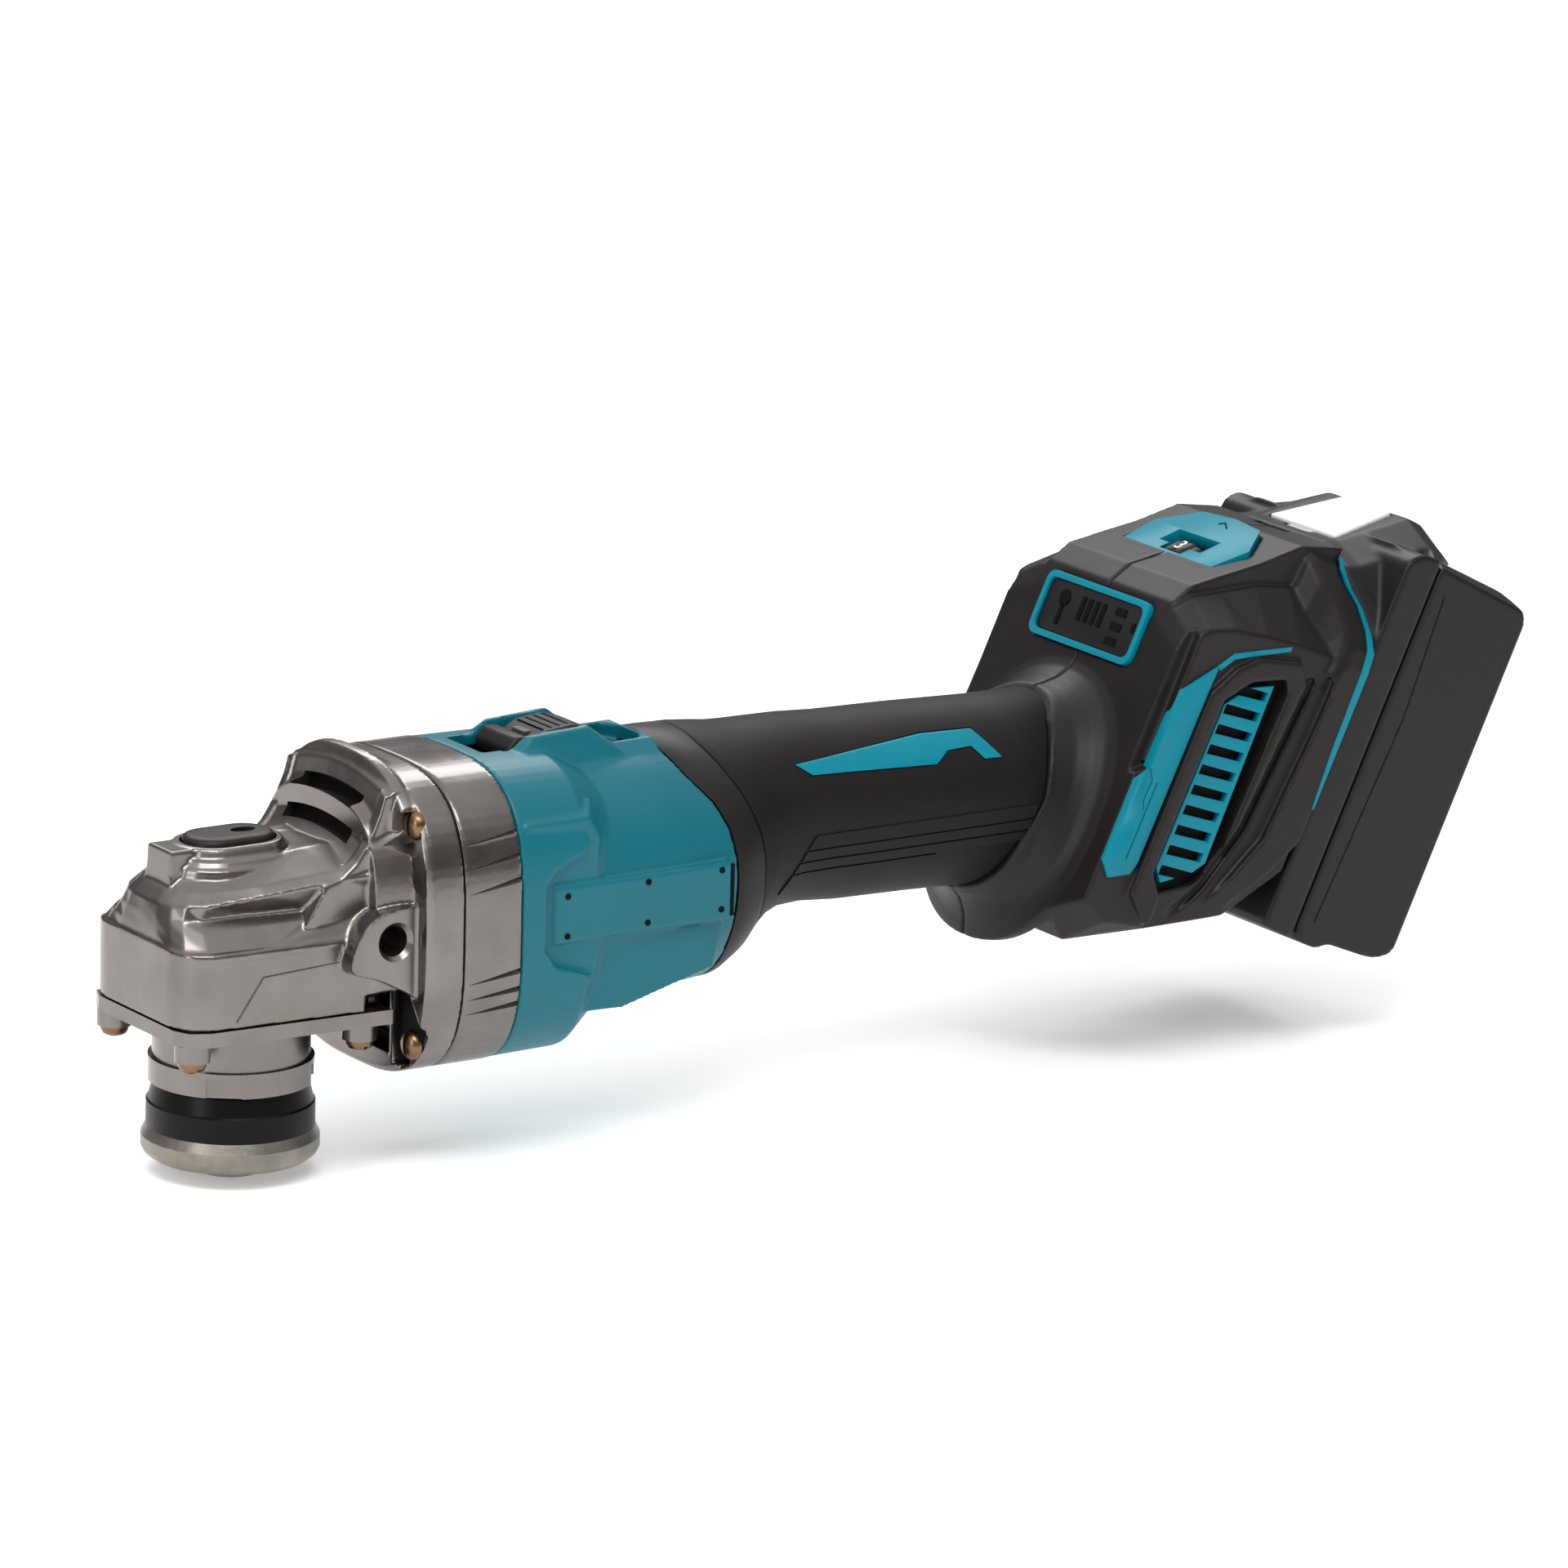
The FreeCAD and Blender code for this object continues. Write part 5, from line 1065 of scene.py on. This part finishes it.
CASE_HALF = 37.4
LOWER = ((22.2, 0.4), (30.0, 0.4), (32.5, 2.4), (47.0, 3.2), (51.9, 6.0), (51.9, 90.6), (47.4, 94.4),
         (22.2, 95.2))
LOWER_ROOM = ((21.0, 2.4), (29.2, 2.4), (31.6, 4.4), (46.8, 5.2), (49.6, 7.0), (50.0, 10.0), (50.0, 88.0),
              (46.0, 92.6), (21.0, 93.2))


def lower_case():
    shell = prism_y(rounded(LOWER, 3.4, 4), -CASE_HALF, CASE_HALF)
    tools = [prism_y(LOWER_ROOM, -35.4, 35.4), button_shape(0.3, 2.0, 7.0)]
    for side in (-1, 1):
        tools.append(loft([[(20, side * 30.0, 96.5), (20, side * 45.0, 91.0), (20, side * 45.0, 110.0)],
                           [(54, side * 26.0, 96.0), (54, side * 45.0, 89.0), (54, side * 45.0, 110.0)]]))
    shell = moulded(carve(shell, tools), 0.6, 4)
    return piece(shell, "pack_lower", "battery", PACK, ["battery_lower_case"], local=True, sharp=75)


def seam_line():
    """Step line that runs down each side of the pack."""
    line = [(26.4, 6.0), (28.4, 58.0), (26.2, 88.0), (25.9, 88.0), (28.1, 58.0), (26.1, 6.0)]
    return piece(join(sided(line, 37.0, 37.45)), "pack_seam", "battery", INK_AND_SHADE, local=True)


HUMP = ((14.0, 71.6), (4.6, 77.6), (3.2, 84.0), (3.4, 89.4), (7.6, 91.0), (24.6, 102.4), (29.2, 102.2),
        (32.6, 98.0), (33.4, 95.3), (14.0, 95.2))
HUMP_EDGE = ((14.0, 71.6), (4.6, 77.6), (3.2, 82.0), (3.6, 85.4), (7.8, 87.0), (24.6, 97.6), (29.0, 97.2),
             (31.6, 96.0), (32.4, 95.3), (14.0, 95.2))
HUMP_TOE = ((14.0, 68.0), (12.7, 69.4), (12.6, 71.0), (12.8, 72.6), (14.4, 75.0), (21.0, 93.6), (21.2, 93.5),
            (21.3, 93.4), (21.4, 93.2), (14.4, 93.0))


def hump():
    """Raised back of the pack; its flanks fall away from a flat ridge to the edges of the case."""
    return across((-37.0, HUMP_TOE), (-27.4, HUMP_EDGE), (-15.5, HUMP), (15.5, HUMP), (27.4, HUMP_EDGE),
                  (37.0, HUMP_TOE))


def upper_case():
    plate = rounded([(12.5, 0.8), (21.8, 0.4), (21.8, 95.2), (15.5, 95.0), (12.5, 92.0)], 1.6)
    plate = prism_y(plate, -CASE_HALF, CASE_HALF)
    rails = [block(8.4, 13.4, -20.3, 20.3, 5.0, 84.0), block(4.8, 8.5, -24.3, 24.3, 5.0, 80.0)]
    tools = [block(14.0, 23.0, -35.4, 35.4, 2.4, 93.2), block(7.0, 15.0, -17.5, 17.5, 24.0, 76.0),
             block(4.0, 9.2, -14.8, 14.8, 0.0, 9.2), block(4.0, 15.0, -5.4, 5.4, 59.5, 80.0),
             block(7.0, 14.6, -5.4, 5.4, 70.0, 91.0), button_shape(0.3, 4.0, 7.0)]
    for y in (-9.0, 0.0, 9.0):
        tools.append(block(4.0, 8.6, y - 1.5, y + 1.5, 9.0, 25.0))
    body = moulded(carve(union([plate, hump()] + rails), tools), 0.5, 8)
    return piece(body, "pack_upper", "battery", PACK, ["battery_upper_case"], local=True, sharp=75)


def release_button():
    plug = bevelled(button_shape(0.0, 0.6, 2.0), 0.6, 3)
    arm = block(8.2, 11.0, -5.0, 5.0, 70.5, 90.9)
    hook = block(2.6, 11.0, -5.0, 5.0, 70.5, 74.5)
    button = union([plug, arm, hook])
    return piece(button, "release_button", "battery_latch", PALE, ["battery_release_button"], local=True)


# ---------------- stage
AZIMUTH = math.radians(-33.6)
ELEVATION = math.radians(14.4)
ROLL = math.radians(1.49)
CAMERA_AT = Vector((-1.11128, -1.89177, 0.65428))
LENS = 235.3125


def build_stage():
    """Plain pale floor that the tool stands on, faintly lit from within so that it stays pale far off."""
    low = min(v[2] for v in CAD_BOX)
    floor = solid([(-6, -6, low), (6, -6, low), (6, 6, low), (-6, 6, low)], [(0, 1, 2, 3)])
    floor.name = "floor"
    pale = surface("pale_floor", (250, 250, 250), 0.01, 0.8, 0.0, 40, 0.0)
    shader = pale.node_tree.nodes["Principled BSDF"]
    shader.inputs["Emission Color"].default_value = (1.0, 1.0, 1.0, 1.0)
    shader.inputs["Emission Strength"].default_value = 0.3
    floor.data.materials.append(pale)


def area_light(name, place, aim, size, power, spread=math.pi):
    data = bpy.data.lights.new(name, "AREA")
    data.energy = power
    data.shape = "RECTANGLE"
    data.size, data.size_y = size
    data.spread = spread
    lamp = bpy.data.objects.new(name, data)
    lamp.location = place
    lamp.rotation_euler = (Vector(aim) - Vector(place)).to_track_quat("-Z", "Y").to_euler()
    bpy.context.scene.collection.objects.link(lamp)


def build_lights():
    """Bright ceiling, dim horizon, and three soft boxes."""
    scene = bpy.context.scene
    scene.view_settings.view_transform = "Standard"
    world = scene.world or bpy.data.worlds.new("world")
    scene.world = world
    world.use_nodes = True
    nodes = world.node_tree.nodes
    links = world.node_tree.links
    sky = nodes["Background"]
    sky.inputs["Strength"].default_value = 1.05
    place = nodes.new("ShaderNodeTexCoord")
    split = nodes.new("ShaderNodeSeparateXYZ")
    ramp = nodes.new("ShaderNodeValToRGB")
    links.new(place.outputs["Generated"], split.inputs["Vector"])
    links.new(split.outputs["Z"], ramp.inputs["Fac"])
    links.new(ramp.outputs["Color"], sky.inputs["Color"])
    ramp.color_ramp.elements[0].position = 0.0
    ramp.color_ramp.elements[0].color = (0.07, 0.07, 0.07, 1.0)
    ramp.color_ramp.elements[1].position = 0.85
    ramp.color_ramp.elements[1].color = (1.0, 1.0, 1.0, 1.0)
    middle = ramp.color_ramp.elements.new(0.35)
    middle.color = (0.24, 0.24, 0.24, 1.0)
    target = (0.13, 0.0, 0.06)
    area_light("key", (-0.35, -0.55, 1.1), target, (0.9, 0.4), 9.0)
    area_light("fill", (-1.1, -0.3, 0.45), target, (0.2, 0.7), 3.5)
    area_light("rim", (0.6, 0.9, 0.9), target, (0.9, 0.3), 6.0)


def build_camera():
    back = Vector((math.sin(AZIMUTH) * math.cos(ELEVATION), -math.cos(AZIMUTH) * math.cos(ELEVATION),
                   math.sin(ELEVATION)))
    right = Vector((0, 0, 1)).cross(back).normalized()
    up = back.cross(right)
    c, s = math.cos(ROLL), math.sin(ROLL)
    right, up = right * c + up * s, up * c - right * s
    data = bpy.data.cameras.new("camera")
    data.sensor_width = 36.0
    data.lens = LENS
    data.clip_end = 20.0
    camera = bpy.data.objects.new("camera", data)
    turn = Matrix((right, up, back)).transposed().to_4x4()
    camera.matrix_world = Matrix.Translation(CAMERA_AT) @ turn
    bpy.context.scene.collection.objects.link(camera)
    bpy.context.scene.camera = camera


dress_cad_nodes()
gear_head()
slot_shade_sheet()
pocket_dark_sheets()
front_panel_lines()
lock_cap()
motor_ring()
head_screws()
motor_shell()
plate_details()
switch_button()
switch_apron()
band()
sleeve()
grip_panel()
inlays()
housing_parts()
dial_plate()
dial_wheel()
panel_parts()
grille_parts()
trim_parts()
lower_case()
seam_line()
upper_case()
release_button()
build_stage()
build_lights()
build_camera()
